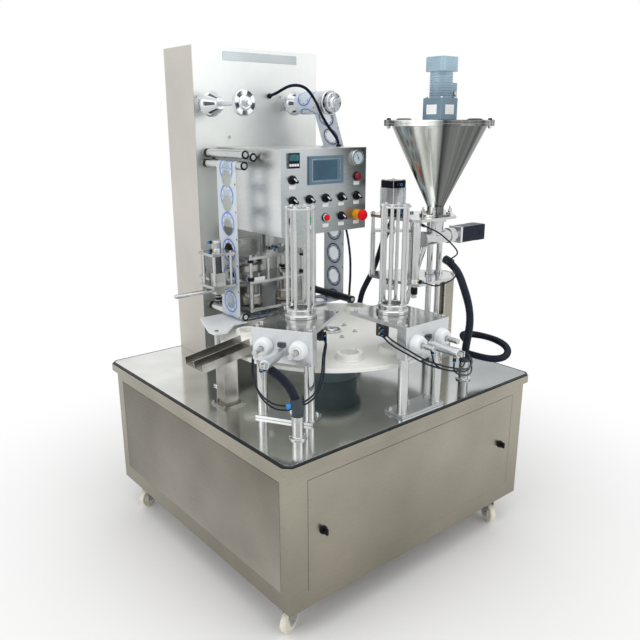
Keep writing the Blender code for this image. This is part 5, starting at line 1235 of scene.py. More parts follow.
for place in places_round(HOPPER, 0.046, range(20, 380, 60)):
    hopper_screws.append(nut(at(*place, SEAT + 0.008), UP, 0.0095, 0.005))
show("hopper_cone", hopper_parts, MIRROR, replaces="hopper")
show("hopper_screws", hopper_screws, STEEL)
show("lid_disc", lid_parts, MIRROR, replaces="hopper_lid")
show("lid_knobs", knobs, BLACK, replaces="hopper_lid")

# %% Mixer motor


def on_lid(x, y, z):
    """A place given from the middle of the lid."""
    return at(HOPPER[0] + x, HOPPER[1] + y, LID + z)


def motor_body():
    """Gearbox, ribbed body, cowl and terminal box, up from the lid."""
    middle, (z1, z2, z3) = on_lid(0, 0, 0), LID + np.array([0.0843, 0.1693, 0.2173])
    shapes = [block(on_lid(-0.043, -0.043, 0.0123), on_lid(0.043, 0.043, 0.0843), 0.0014, 0.005)]
    height = np.linspace(z1 + 0.006, z2 - 0.004, 73)
    ribs = 0.0392 + 0.0010 * np.sign(np.sin((height - z1) * 2 * np.pi / 0.0082))
    profile = [(0.012, z1 - 0.001), (0.0400, z1 - 0.001), *zip(ribs, height)]
    profile += [(0.0400, z2 + 0.001), (0.012, z2 + 0.001)]
    shapes.append(turned(profile, middle * (1, 1, 0), sides=72))
    cowl = softened(middle[:2] + centred_outline(0.0425, 0.0425), 0.017, 6)
    shapes.append(prism(cowl, z2, z3, soft=0.0020))
    shapes.append(block(on_lid(0.028, -0.026, 0.0833), on_lid(0.0562, 0.012, 0.1345), 0.0012, 0.003))
    return shapes


motor_bits = []
for dx, dy in product((-0.034, 0.034), repeat=2):
    motor_bits.append(screw(on_lid(dx, dy, 0.0843), UP, 0.0045, 0.004))
    motor_bits.append(screw(on_lid(dx * 0.92, dy * 0.92, 0.2173), UP, 0.0036, 0.0012))
motor_bits.append(nut(on_lid(0.042, -0.026, 0.100), FRONT, 0.014, 0.006))
show("motor_case", motor_body(), ENAMEL, replaces="mixer_motor")
show("motor_screws", motor_bits, STEEL)
left_plate = block(on_lid(-0.0436, -0.022, 0.030), on_lid(-0.0429, 0.024, 0.062), 0.0003)
front_plate = block(on_lid(-0.024, -0.0436, 0.030), on_lid(0.022, -0.0429, 0.062), 0.0003)
show("motor_plates", [left_plate, front_plate], LABEL)

# %% [markdown]
# ## Controls
# All the controls on the box are standard 22 mm parts. A selector is a skirted knob with a raised
# grip and a white pointer line, drawn wide so that it is also a painted highlight on the knob; the
# lamps and buttons sit in bright bezels, and each has a small plain white plate under it. Each part
# is made round the origin, its face to the front.

# %% Where the controls sit
BOX_FACE = -0.0313
ORIGIN = (0, 0, 0)
COLUMNS = [-0.126 + 0.0735 * k for k in range(5)]
ROWS = (1.170, 1.238, 1.307)
SELECTORS = [(0, 2), (0, 1), (1, 1), (2, 1), (3, 1), (4, 1), (3, 0)]
BUTTONS = [(0, 0), (1, 0), (2, 0)]


def on_face(column, row):
    """The middle of a control on the box's face."""
    return at(COLUMNS[column], BOX_FACE, ROWS[row])


def inward(start, end, radius, soft=0.0006, sides=32):
    """A round bar square to the face, between two depths."""
    return rod((0, start, 0), (0, end, 0), radius, soft, sides)


def facing(profile, soft, sides=44, ring=False):
    """A profile turned about the line that comes straight out of the face."""
    return lathe(mm(profile), soft, ORIGIN, FRONT, sides, ring)


print("selectors:", len(SELECTORS), "and buttons:", len(BUTTONS))

# %% Front sheet with painted shade, and selectors
# A thin sheet over the whole front of the box carries the front's painted shade.
shaded_front_sheet = block(at(-0.1736, BOX_FACE, 1.1176), at(0.2146, -0.0309, 1.4064), 0.0002, 0.002)
show("control_front_shade", shaded_front_sheet, BOX)
turn = math.radians(-38)
SPIN = np.array([[math.cos(turn), -math.sin(turn)], [math.sin(turn), math.cos(turn)]])
grip = mm("-11 -4, 11.8 -5.6, 15.2 -2.4, 15.2 2.4, 11.8 5.6, -11 4") @ SPIN.T
# The pointer line is drawn wide: a white pointer and a painted highlight along the grip.
line = mm("-9.8 -2, 6.2 -2, 6.2 2, -9.8 2") @ SPIN.T
selector = [facing("2 0, 15.8 0, 15.8 3, 14.2 7.8, 12 9.2, 2 9.2", 0.0008, 40)]
selector.append(prism(grip, 0.0080, 0.0207, "XZ", 0.0012, 0.002))
selector.append(inward(0.002, 0.028, 0.0080))
pointer_and_highlight = [prism(line, 0.0205, 0.0210, "XZ", 0.0001)]
for number, spot in enumerate(SELECTORS, 1):
    dress(f"selector_{number}", "_knob", moved(selector, on_face(*spot)), BLACK)
    dress(f"selector_{number}", "_pointer_and_highlight", moved(pointer_and_highlight, on_face(*spot)), LABEL)

# %% Buttons, emergency stop and lamp
dark_ring = [sleeve((0, 0.0002, 0), (0, -0.0030, 0), 0.0163, 0.0150, 0.0005, 44)]
bezel = [facing("12.1 0.2, 15.2 0.2, 15.2 4.5, 13.6 8.4, 12.1 8.4", 0.0007, ring=True)]
button = [facing("1 4, 11 4, 11.1 11.2, 9.5 12.6, 1 13", 0.0008), inward(0.024, -0.005, 0.0079)]
bright, dark_rings = [], []
for number, spot in enumerate(BUTTONS, 1):
    dark_rings += moved(dark_ring, on_face(*spot))
    bright += moved(bezel, on_face(*spot))
    lens = moved(button, on_face(*spot))
    dress(f"push_button_{number}", "_lens", lens, GREEN if number == 2 else RED)
head = mm("1 21, 10 20, 17 16.5, 20.6 10.5, 20.6 6, 19 1.5, 14 0, 1 0")
mushroom = [lathe(head, 0.0016, (0, -0.028, 0), FRONT, 56), inward(0.024, -0.029, 0.0080)]
collar = facing("16.9 0, 18.6 0, 18.6 4, 18.2 21, 17.8 22.4, 16.9 22.4", 0.0004, 48, True)
skirt = inward(-0.0062, -0.0284, 0.0164, 0.0006, 48)
stop, lamp = on_face(4, 0), on_face(4, 2)
show("stop_mushroom", moved(mushroom, stop), RED, "emergency_stop", "emergency_stop")
show("stop_collar", moved([collar], stop), COLLAR)
show("stop_skirt", moved([skirt], stop), COLLAR, "emergency_stop", "emergency_stop")
dark_rings += moved([facing("10.5 0, 15.8 0, 15.8 3, 14.5 5.3, 10.5 5.3", 0.0006, ring=True)], lamp)
show("lamp_lens", moved([facing("13.2 5, 13.2 12.5, 11.2 16, 6 17.6, 0.8 17.8", 0.001)], lamp), PILOT)
show("control_rings", dark_rings, BLACK)
labels = []
for column, row in (*SELECTORS, *BUTTONS, (4, 0), (4, 2)):
    low = on_face(column, row) + (-0.0140, -0.0008, -0.0312 if row else -0.0345)
    labels.append(block(low, low + (0.0280, 0.0008, 0.0130), 0.0002, 0.0015))

# %% [markdown]
# The touch screen has a steel-blue bezel and a recessed glass. The temperature controller is a
# 48 mm panel meter, and the gauge is white behind glass in a bright ring, its needle at half scale.

# %% Screen and controller


def frame_between(outer, inner, low, high):
    """A rectangular frame between two pairs of half sizes."""
    return border(centred_outline(*outer), centred_outline(*inner), low, high, "XZ")


OPENING = (0.0642, 0.0377)
PANE = box_outline(-0.0590, -0.0325, 0.0500, 0.0325)
screen_parts = {
    "bezel": ([frame_between((0.0787, 0.0477), (0.0640, 0.0375), 0.0002, 0.0054)], BEZEL),
    "frame": ([prism(centred_outline(*OPENING), 0.0006, 0.0040, "XZ", 0.0004)], BEZEL),
    "glass": ([prism(PANE, 0.0038, 0.0043, "XZ", 0.0003)], GLASS),
    "trim": ([frame_between(OPENING, (0.0628, 0.0363), 0.0002, 0.0056)], ZINC),
    "keys": ([
        prism(box_outline(0.0530, z - 0.0035, 0.0600, z + 0.0035), 0.0038, 0.0046, "XZ", 0.0003)
        for z in (-0.022, -0.011, 0, 0.011, 0.022)
    ], BEZEL),
}
for part, (shapes, finish) in screen_parts.items():
    show("screen_" + part, moved(shapes, at(0.0215, BOX_FACE, 1.3345)), finish, replaces="touch_screen")
meter = at(-0.121, BOX_FACE, 1.370)
case = block(meter + (-0.0252, -0.0052, -0.0252), meter + (0.0252, 0.0002, 0.0252), 0.0010, 0.002)
window = block(meter + (-0.0200, -0.0057, 0.0), meter + (0.0200, -0.0050, 0.0200), 0.0003)
keys = [
    block(meter + (x, -0.0062, -0.0185), meter + (x + 0.0085, -0.0050, -0.0105), 0.0005, 0.001)
    for x in (-0.0200, -0.0095, 0.0010, 0.0115)
]
show("meter_case", case, BLACK)
show("meter_window", window, DISPLAY)
show("meter_keys", keys, LABEL)

# %% Pressure gauge


def ray_at(degrees):
    """A unit vector in an upright plane that faces the front."""
    return np.array([math.cos(math.radians(degrees)), 0, math.sin(math.radians(degrees))])


gauge = at(0.166, BOX_FACE, 1.371)
ring = "24 -0.2, 28.3 -0.2, 28.3 6, 26.8 10, 24.5 10.3, 23.5 8"
bright += moved([facing(ring, 0.0009, 64, True)], gauge)
lip = sleeve((0, -0.0080, 0), (0, -0.0108, 0), 0.0243, 0.0226, 0.0004, 64)
marks = []
for tick in range(11):
    ray = ray_at(225 - 27 * tick)
    start, end = (0.0200 if tick % 5 else 0.0180) * ray, 0.0222 * ray
    marks.append(rod(start + (0, -0.0101, 0), end + (0, -0.0101, 0), 0.0007, 0.0001, 8))
ray = ray_at(118)
needle = (-0.008 * ray + (0, -0.0104, 0), 0.0175 * ray + (0, -0.0104, 0))
marks.append(rod(*needle, 0.0011, 0.0002, 8, 0.0005))
marks.append(inward(-0.0100, -0.0112, 0.0026, 0.0004, 20))
show("gauge_lip", moved([lip], gauge), BLACK)
show("gauge_face", moved([inward(0.0, -0.0101, 0.0242, 0.0003, 64)], gauge), DIAL)
show("gauge_marks", moved(marks, gauge), BLACK)
show("control_bezels", bright, STEEL)
show("control_labels", labels, LABEL)

# %% [markdown]
# ## Reels and rollers
# A reel clamps its film core between two chucks. The rear chuck is a cone of vanes round a hub, and
# the front one is a slotted wheel locked by a hand nut. The rollers are ground tubes with a black
# rubber ring at each end and a bright shaft in the middle.

# %% Chucks
LARGE, SMALL, CONE = 0.0436, 0.0190, 0.060


def vane_cone(place, axis, large=LARGE, small=SMALL, length=CONE, vanes=6):
    """A cone whose radius drops into a slot between vanes: r = R(h) (1 - d w(a) s(h))."""
    angle, rays, along = spokes(axis, vanes * 16)
    slot = 0.5 - 0.5 * np.tanh(9 * (np.cos(vanes * angle) + 0.55))
    share = np.array([0.0, 0.12, 0.14, 0.5, 0.88, 0.90, 1.0])
    cut = np.array([0.0, 0.0, 1.0, 1.0, 1.0, 0.0, 0.0])
    radius = (large + (small - large) * share)[:, None] * (1 - 0.26 * cut[:, None] * slot)
    grid = radius[..., None] * rays[None] + (share * length)[:, None, None] * along
    return from_grid(grid + np.asarray(place, float))


def slot_shadows(place, axis):
    """Painted shade: a dark inner cone that shows in the slots just under the vanes."""
    profile = [(0.001, 0.13), (0.95, 0.13), (0.95, 0.5), (0.95, 0.89), (0.001, 0.89)]
    inner = [(share * 0.92 * (LARGE + (SMALL - LARGE) * h), h * CONE) for share, h in profile]
    return turned(inner, place, axis, 48)


def slotted_wheel(place, axis, radius=0.0428, slots=5):
    """A flat wheel with a raised rim and hub; its face sinks into a slot between the spokes."""
    angle, rays, along = spokes(axis, slots * 18)
    slot = 0.5 + 0.5 * np.tanh(8 * (np.cos(slots * angle) - 0.25))
    rows = [(0.30, 0.0, 0), (1.0, 0.0, 0), (1.0, 0.0120, 0), (0.93, 0.0138, 0), (0.91, 0.0138, 1)]
    rows += [(0.60, 0.0138, 1), (0.58, 0.0138, 0), (0.50, 0.0160, 0)]
    rows += [(0.46, 0.0200, 0), (0.30, 0.0200, 0)]
    grid = np.stack([
        radius * share * rays + (height - 0.0085 * cut * slot)[:, None] * along
        for share, height, cut in rows
    ])
    return from_grid(grid + np.asarray(place, float))


def slot_floor_shades(place, axis, radius=0.0428, slots=5):
    """Painted shade: dark pads on the floors of the wheel's slots."""
    first, second, along = square_to(axis)
    pads = []
    for turn in np.arange(slots) * 2 * np.pi / slots:
        angle = turn + np.linspace(-0.19, 0.19, 7)
        rays = np.cos(angle)[:, None] * first + np.sin(angle)[:, None] * second
        edge = np.concatenate([0.60 * radius * rays, 0.90 * radius * rays[::-1]])
        pad = np.stack([edge + along * 0.0060, edge + along * 0.0054])
        pads.append(from_grid(pad + np.asarray(place, float)))
    return pads


print("a cone of vanes has", len(vane_cone(ORIGIN, FRONT)[0]), "points")

# %% Reels
REELS = {"rewind_reel": (-0.229, 1.5546), "supply_reel": (0.143, 1.5620)}
for name, (x, z) in REELS.items():
    front, back = at(x, 0.0965, z), at(x, 0.290, z)
    shapes = [level(x, z, 0.3675, 0.0580, 0.0082, 0.0008, 28)]
    shapes += [vane_cone(back, FRONT), slotted_wheel(front, FRONT)]
    shapes.append(level(x, z, 0.300, 0.290, 0.0436, 0.0015, 64))
    shapes.append(level(x, z, 0.342, 0.299, 0.0180, 0.0015, 40))
    shapes.append(vane_cone(at(x, 0.0960, z), BACK, 0.0400, 0.0240, 0.030))
    shapes.append(nut(at(x, 0.0770, z), FRONT, 0.024, 0.010))
    shapes.append(level(x, z, 0.072, 0.0545, 0.0095, 0.0015, 28))
    for ray in map(ray_at, (90, 210, 330)):
        shapes.append(screw(at(x, 0.295, z) + 0.0430 * ray, ray, 0.0036, 0.0040))
    dress(name, "_chucks", shapes, BRIGHT)
    # Painted shade in the chucks' slots: a dark inner cone and dark pads on the slot floors.
    dress(name, "_slot_shades", [slot_shadows(back, FRONT), *slot_floor_shades(front, FRONT)], DARK)
x, z = REELS["supply_reel"]
roll = lathe(mm("20 0, 40.5 0, 40.5 120, 20 120"), 0.0006, at(x, 0.130, z), BACK, 72, True)
core = lathe(mm("19 -2, 38.5 -2, 38.5 122, 19 122"), 0.0006, at(x, 0.130, z), BACK, 56, True)
show("film_roll", roll, FILM, "supply_reel")
show("film_core", core, ACETAL, "supply_reel")
handwheel = slotted_wheel(at(x, 0.0770, z), FRONT, 0.0350)
show("supply_handwheel", handwheel, BRIGHT, "supply_reel", "supply_reel")

# %% Rollers
ROLLERS = {
    1: (-0.2235, 1.3875, 0.342, 0.100),
    2: (-0.2295, 1.3510, 0.342, 0.100),
    3: (-0.1915, 1.3780, 0.342, 0.100),
    4: (-0.2295, 0.8160, 0.342, 0.120),
    5: (0.2400, 0.8160, 0.300, 0.060),
}
for number, (x, z, back, front) in ROLLERS.items():
    name = f"film_roller_{number}"
    skin = level(x, z, back, front, 0.0146, 0.0010, 48)
    dress(name, "_tube", skin, DARK if number == 5 else STEEL)
    rings = [sleeve(at(x, front + 0.0004, z), at(x, front - 0.0016, z), 0.0147, 0.0088, 0.0006, 40)]
    rings.append(sleeve(at(x, back + 0.0040, z), at(x, back - 0.0140, z), 0.0155, 0.0120, 0.0008, 40))
    dress(name, "_rings", rings, BLACK)
    ends = [level(x, z, front + 0.001, front - 0.0030, 0.0086)]
    ends.append(screw(at(x, front - 0.003, z), FRONT, 0.0035, 0.0012))
    ends.append(level(x, z, 0.366, back - 0.01, 0.0062, 0.0006, 24))
    dress(name, "_shaft", ends, STEEL)

# %% [markdown]
# ## Tower details
# A blank nameplate, bearing housings with screws behind each reel, the film's guide bar, and a
# single screw in the face.

# %% Nameplate, bearing screws and guide bar
TOWER_FACE = 0.3538
plate = prism(box_outline(-0.137, 1.708, 0.199, 1.739), -TOWER_FACE, -0.3528, "XZ", 0.0003, 0.002)
show("nameplate", moved([plate], MIDDLE), NAMEPLATE)
steel_parts = [screw(at(-0.121, TOWER_FACE, 1.441), FRONT, 0.0060, 0.0040)]
for x, z in REELS.values():
    steel_parts.append(level(x, z, TOWER_FACE, 0.3398, 0.0263, 0.0012, 48))
    for screw_x, screw_z in places_round((x, z), 0.036, (45, 135, 225, 315)):
        steel_parts.append(screw(at(screw_x, TOWER_FACE, screw_z), FRONT, 0.0042, 0.0036))
steel_parts.append(level(0.246, 1.390, 0.3535, 0.110, 0.0087, 0.0010, 40))
steel_parts.append(nut(at(0.246, TOWER_FACE, 1.390), FRONT, 0.024, 0.007))
for x, z, _, _ in ROLLERS.values():
    steel_parts.append(sleeve(at(x, TOWER_FACE, z), at(x, 0.3478, z), 0.0125, 0.0070, 0.0008, 36))
show("tower_fittings", steel_parts, STEEL)

# %% [markdown]
# ## Filler and press
# Two thick plates stand on round columns. The press cylinder is an extruded square tube with
# grooves, between two heads held by tie rods. Its guide rods carry springs that push the press head
# back up, and a slim tamping cylinder hangs beside it.

# %% Columns, box post and plates of the filler
LOWER_PLATE, UPPER_PLATE = 0.9400, 1.1680
GUIDES = ((0.247, -0.042), (0.353, -0.138))
columns = []
for x, y in ((0.402, -0.193), (0.448, -0.199)):
    columns.append(upright(x, y, 0.6120, 0.9301, 0.0113, 0.0008, 40))
    columns.append(upright(x, y, 0.9399, 1.1581, 0.0113, 0.0008, 40))
    for z in (0.6123, 0.9402, 1.1682):
        columns.append(sleeve(at(x, y, z), at(x, y, z + 0.010), 0.0172, 0.0105, 0.0010, 36))
    columns.append(nut(at(x, y, 1.1780), UP, 0.0190, 0.0070))
for x, y in product((0.396, 0.529), (-0.217, -0.168)):
    columns += bolt(at(x, y, 0.6123), UP, 0.7)
for x, y in GUIDES:
    columns.append(upright(x, y, 0.9240, 1.1742, 0.0063))
    columns.append(nut(at(x, y, 1.1682), UP, 0.0140, 0.0060))
    columns.append(nut(at(x, y, 0.9298), DOWN, 0.0140, 0.0056))
for place in places_round(HOPPER, 0.056, (20, 170, 215, 330)):
    stud = at(*place, UPPER_PLATE)
    columns.append(rod(stud, stud + (0, 0, 0.034), 0.0032, 0.0006, 20))
    columns.append(nut(stud + (0, 0, 0.010), UP, 0.013, 0.007))
    wing = stud + (-0.0100, -0.0018, 0.0165), stud + (0.0100, 0.0018, 0.0255)
    columns.append(block(*wing, 0.0008, 0.003))
show("filler_columns", columns, STEEL)
springs = [spring(x, y, 0.9402, 1.0995, 0.0092, 0.0016, 20) for x, y in GUIDES]
squeezed = show("press_springs", springs, STEEL)
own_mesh(squeezed)
show("box_post", block(at(0.4697, -0.2183, 0.6100), at(0.5233, -0.1677, 0.9342), 0.0015, 0.005), CABINET)

# %% Press cylinder and press head
PRESS = (0.300, -0.090)


def square_ring(half, groove, centre):
    """A square outline of twenty points, each side with a shallow groove in its middle."""
    across = half * np.array([-1, -0.30, -0.22, 0.22, 0.30])
    side = np.stack([across, np.array([0, 0, groove, groove, 0]) - half], 1)
    quarters = [side]
    for _ in range(3):
        quarters.append(quarters[-1] @ np.array([[0, 1], [-1, 0]]))
    return np.concatenate(quarters) + at(*centre, 0)[:2]


def over_press(dx, dy, z):
    """A place given from the press cylinder's axis."""
    return at(PRESS[0] + dx, PRESS[1] + dy, z)


tube_shape = prism(square_ring(0.0290, 0.0045, PRESS), 1.1930, 1.2630, soft=0.0004)
show("press_tube", tube_shape, BRIGHT, sharp=30)
heads = [
    block(over_press(-0.0327, -0.0327, low), over_press(0.0327, 0.0327, high), 0.0012, 0.004)
    for low, high in ((UPPER_PLATE + 0.0002, 1.1942), (1.2618, 1.2892))
]
show("press_heads", heads, BLACK)
ties = []
for dx, dy in product((-0.0262, 0.0262), repeat=2):
    ties.append(screw(over_press(dx, dy, 1.2892), UP, 0.0046, 0.0030))
    tie = over_press(1.2 * dx, 1.2 * dy, 1.1930)
    ties.append(rod(tie, tie + (0, 0, 0.0700), 0.0030, 0.0003, 16))
ties.append(screw(over_press(0, 0, 1.2892), UP, 0.0060, 0.0030))
show("press_ties", ties, STEEL)
fit_air(over_press(-0.010, -0.0327, 1.276))
fit_air(over_press(-0.010, -0.0327, 1.181))
shapes = [upright(*PRESS, 0.8800, 0.9022, 0.0303, 0.0025, 56)]
shapes.append(upright(*PRESS, 0.9015, 1.1775, 0.0093, 0.0008, 36))
shapes.append(upright(*PRESS, 0.9020, 0.9180, 0.0165, 0.0020, 40))
shapes.append(nut(at(*PRESS, 1.1080), UP, 0.024, 0.010))
shapes.append(nut(at(*PRESS, 1.1000), DOWN, 0.024, 0.008))
show("press_ram", shapes, STEEL, "press_head")

# %% Tamping cylinder and tip
TAMPER = at(0.260, -0.248, 0)
body = mm("4 928, 15.8 928, 15.8 948, 14.6 950, 14.6 1135, 15.8 1137, 15.8 1158.8, 4 1158.8")
tip = mm("1 880, 10 880, 10 887, 7.8 889, 7.8 893.5, 1 893.5")
collar = mm("1 893, 12.2 893, 12.2 918, 1 918")
rod_and_tip = [rod(TAMPER + (0, 0, 0.9050), TAMPER + (0, 0, 0.9600), 0.0052, 0.0006, 28)]
rod_and_tip.append(lathe(tip, 0.0008, TAMPER, sides=36))
show("tamper_tube", lathe(body, 0.0007, TAMPER, sides=44), BRIGHT)
dress("tamper", "_rod", rod_and_tip, STEEL)
dress("tamper", "_sleeve", lathe(collar, 0.0012, TAMPER, sides=36), BLACK)
plate_screws = []
for x, y in mm("236 -232, 284 -264, 330 -60, 268 -118, 332 -64, 455 -160"):
    for z in (UPPER_PLATE, LOWER_PLATE):
        plate_screws.append(screw(at(x, y, z), UP, 0.0045, 0.0042))
show("filler_screws", plate_screws, STEEL)

# %% [markdown]
# ## Auger drive
# The powder screw lies in a short barrel between two flanges. A dark servo motor drives it through
# a coupling, and a slanted spout leads down into the capsule under it.

# %% Auger barrel, servo and spout
y, z = -0.240, 1.088
barrel = mm(
    "2 299, 28.2 299, 28.2 311, 24.3 312.5, 24.3 438, 28.2 438, 28.2 454, 26.7 454.5, 26.7 470,"
    "22.2 470.5, 22.2 483.5, 2 483.5"
)
inlet = mm("24 1100, 28.2 1100, 28.2 1149, 42.2 1149.5, 42.2 1157.6, 24 1157.6")
spout = mm("2 0, 12.4 0, 9.3 251.2, 7 251.2, 7 180")
start, end = at(0.322, y, z), at(0.276, -0.196, 0.845)
shapes = [lathe(barrel, 0.0009, at(0, y, z), RIGHT, 60)]
shapes.append(lathe(inlet, 0.0010, at(0.365, y, 0), sides=60, ring=True))
shapes.append(turned(spout, start, end - start, 36))
screws = []
for degrees in range(0, 360, 60):
    cos, sin = math.cos(math.radians(degrees)), math.sin(math.radians(degrees))
    ray = np.array([0, cos, sin])
    screws.append(screw(at(0.2990, y, z) + 0.0225 * ray, (-1, 0, 0), 0.0030, 0.0028))
    screws.append(screw(at(0.4380, y, z) + 0.025676 * ray, (-1, 0, 0), 0.0017, 0.0020))
    screws.append(screw(at(0.365 + 0.0352 * cos, y + 0.0352 * sin, 1.1495), DOWN, 0.0034, 0.0030))
case = softened(centred_outline(0.0295, 0.0295), 0.006, 5)
rear = softened(centred_outline(0.0300, 0.0300), 0.005, 4)
cases = [prism(case, 0.4948, 0.5800, "YZ", 0.0010), prism(rear, 0.5780, 0.6280, "YZ", 0.0018)]
cases = moved(cases, at(0, y, z))
flange = block(at(0.4828, y - 0.0302, z - 0.0302), at(0.4950, y + 0.0302, z + 0.0302), 0.0010, 0.003)
plugs = [block(at(0.5050, y - 0.012, z + 0.0290), at(0.5280, y + 0.012, z + 0.0302), 0.0006)]
plugs.append(block(at(0.5950, y - 0.0310, z - 0.010), at(0.6180, y - 0.0290, z + 0.010), 0.0006))
show("auger_barrel", shapes, STEEL, replaces="auger_drive")
show("auger_screws", screws, STEEL, replaces="auger_drive")
show("servo_flange", flange, BRIGHT, replaces="auger_drive")
show("servo_case", cases, NAVY, replaces="auger_drive")
show("servo_plugs", plugs, BLACK, replaces="auger_drive")

# %% [markdown]
# ## Film sealer
# The film runs along a white table under two heated heads. The heads hang from a plate that slides
# on four columns, pulled back by springs and pushed down by the square cylinder above.

# %% Columns and springs of the sealer
POSTS = list(product((-0.191, 0.046), (0.134, 0.262)))
columns, springs, nuts, clamps, stops = [], [], [], [], []
for x, y in POSTS:
    columns.append(upright(x, y, 0.8290, 1.0362, 0.0062, 0.0008, 28))
    springs.append(spring(x, y, 0.8385, 0.9285, 0.0082, 0.0011, 13))
    nuts.append(nut(at(x, y, 1.0300), UP, 0.0130, 0.0055))
    nuts.append(nut(at(x, y, 0.8280), DOWN, 0.0130, 0.0045))
    clamps.append(upright(x, y, 0.9420, 0.9540, 0.0125, 0.0012))
    stops.append(upright(x, y, 1.0080, 1.0195, 0.0110, 0.0012))
show("sealer_columns", columns, STEEL)
squeezed = show("sealer_springs", springs, STEEL)
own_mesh(squeezed)
show("sealer_nuts", nuts, STEEL)

# %% Cylinder and heads of the sealer
SEALER, LINE = (-0.075, 0.190), 0.190
heads, collars, guides, coils = [], [], [], []
for x in (0.0, -0.150):
    heads.append(upright(x, LINE, 0.8448, 0.8692, 0.0343, 0.0018, 64))
    heads.append(upright(x, LINE, 0.8690, 0.9302, 0.0103))
    heads.append(nut(at(x, LINE, 0.9400), UP, 0.0200, 0.0080))
    collars.append(upright(x, LINE, 0.8692, 0.8772, 0.0260, 0.0012, 48))
    for dx, dy in ((-0.024, -0.012), (0.024, -0.012), (0.0, 0.026)):
        guides.append(upright(x + dx, LINE + dy, 0.8690, 0.9560, 0.0036, 0.0005, 16))
        guides.append(nut(at(x + dx, LINE + dy, 0.9400), UP, 0.0080, 0.0045))
        coils.append(spring(x + dx, LINE + dy, 0.8780, 0.9298, 0.0058, 0.0009, 9))
    guides.append(block(at(x - 0.034, 0.150, 0.9398), at(x + 0.034, 0.172, 0.9478), 0.0008, 0.002))
show("sealer_cylinder", prism(square_ring(0.0280, 0.0035, SEALER), 1.0300, 1.1130), BRIGHT, sharp=30)
show("sealer_heads", heads, HEATED, "sealing_head")
show("sealer_collars", collars, ACETAL, "sealing_head")
show("sealer_rod", upright(*SEALER, 0.9395, 1.0405, 0.0062, 0.0006), STEEL, "sealing_head")
show("sealer_guides", guides, STEEL, "sealing_head")
show("sealer_coils", coils, DARK, "sealing_head")
cross = block(at(-0.2023, 0.1237, 0.9297), at(0.0573, 0.2743, 0.9403), 0.0010, 0.004)
show("sealer_cross_plate", cross, PLATE, "sealing_head", "sealing_head")
for dx, z in ((-0.015, 1.048), (-0.015, 1.100), (0.015, 1.048)):
    fit_air(at(SEALER[0] + dx, SEALER[1] - 0.028, z))

# %% Film table, clamps and screws
outline = mm("-395.4 59.7, -352 51.5, -279.8 117.7, -225 117.7, -225 268.3, -330.2 268.3, -395.4 102.1")
show("film_table", moved([prism(outline, 0.7928, 0.7993, soft=0.0008)], MIDDLE), ACETAL)
show("sealer_clamps", clamps, BLACK, "sealing_head")
show("sealer_stops", stops, BLACK)
places = product((-0.170, -0.110, -0.040, 0.020), (0.1290, 0.2500))
screws = [screw(at(x, y, 1.0300), UP, 0.0045, 0.0040) for x, y in places]
show("sealer_screws", screws, STEEL)
x, y = -0.378, 0.078
post = [upright(x, y, 0.6043, 0.7932, 0.0083, 0.0006), upright(x, y, 0.6043, 0.6110, 0.0183, 0.0012, 40)]
show("film_table_post", [*post, nut(at(x, y, 0.7990), UP, 0.0130, 0.0050)], STEEL)

# %% [markdown]
# ## Film coder
# The small press beside the rising film stamps a date. A hand knob under it sets its height on a
# cross rod.

# %% Columns, cylinder, knob and cross rod of the coder
shapes, nuts = [], []
for x, y in product((-0.331, -0.263), (0.152, 0.224)):
    shapes.append(upright(x, y, 0.9400, 1.0592, 0.0052, 0.0007, 24))
    nuts.append(nut(at(x, y, 1.0550), UP, 0.0110, 0.0045))
    nuts.append(nut(at(x, y, 0.9400), UP, 0.0110, 0.0045))
x, y = -0.297, 0.188
shapes.append(upright(x, y, 0.9800, 1.0460, 0.0063, 0.0006))
shapes.append(rod(at(-0.4702, y, 0.917), at(-0.255, y, 0.917), 0.0073, 0.0010))
barrel = [upright(x, y, 0.9800, 1.0455, 0.0158, 0.0010, 36)]
barrel.append(upright(x, y, 0.8900, 0.9022, 0.0072, 0.0010, 24))
body = mm(
    "2 1054.8, 16.3 1054.8, 16.3 1065, 15.2 1067, 15.2 1085, 16.3 1087, 16.3 1095.2, 2 1095.2"
)
knob = mm("1 877.8, 10.5 877.8, 13.2 881, 13.2 890, 11 894.2, 1 894.2")
show("coder_rods", shapes, STEEL)
show("coder_barrel", barrel, DARK)
show("coder_nuts", nuts, STEEL)
show("coder_cylinder", lathe(body, 0.0008, at(x, y, 0), sides=44), BRIGHT)
show("coder_knob", lathe(knob, 0.0014, at(x, y, 0), sides=36), BLACK)
for z in (1.090, 1.061):
    fit_air(at(x - 0.0150, y, z), (-1, 0, 0))

# %% [markdown]
# ## Air lines
# Thin black tubes bring air from the hoses to each cylinder, in pairs, one for each way of the
# piston. A tube leaves its fitting straight, hangs in an even bow and goes into the hose's cuff.

# %% Fittings on the dispensers, without the cabinet's shift


def local(letter, x, y, z):
    """A place in a dispenser's own frame at its station."""
    turn = math.radians(STATIONS[letter])
    east, north = math.cos(turn), math.sin(turn)
    out = NEST_CIRCLE + x
    return np.array([DISC[0] + out * east - y * north, DISC[1] + out * north + y * east, z])


def local_axis(letter, x, y, z):
    """A direction in a dispenser's own frame."""
    return local(letter, x, y, z) - local(letter, 0, 0, 0)


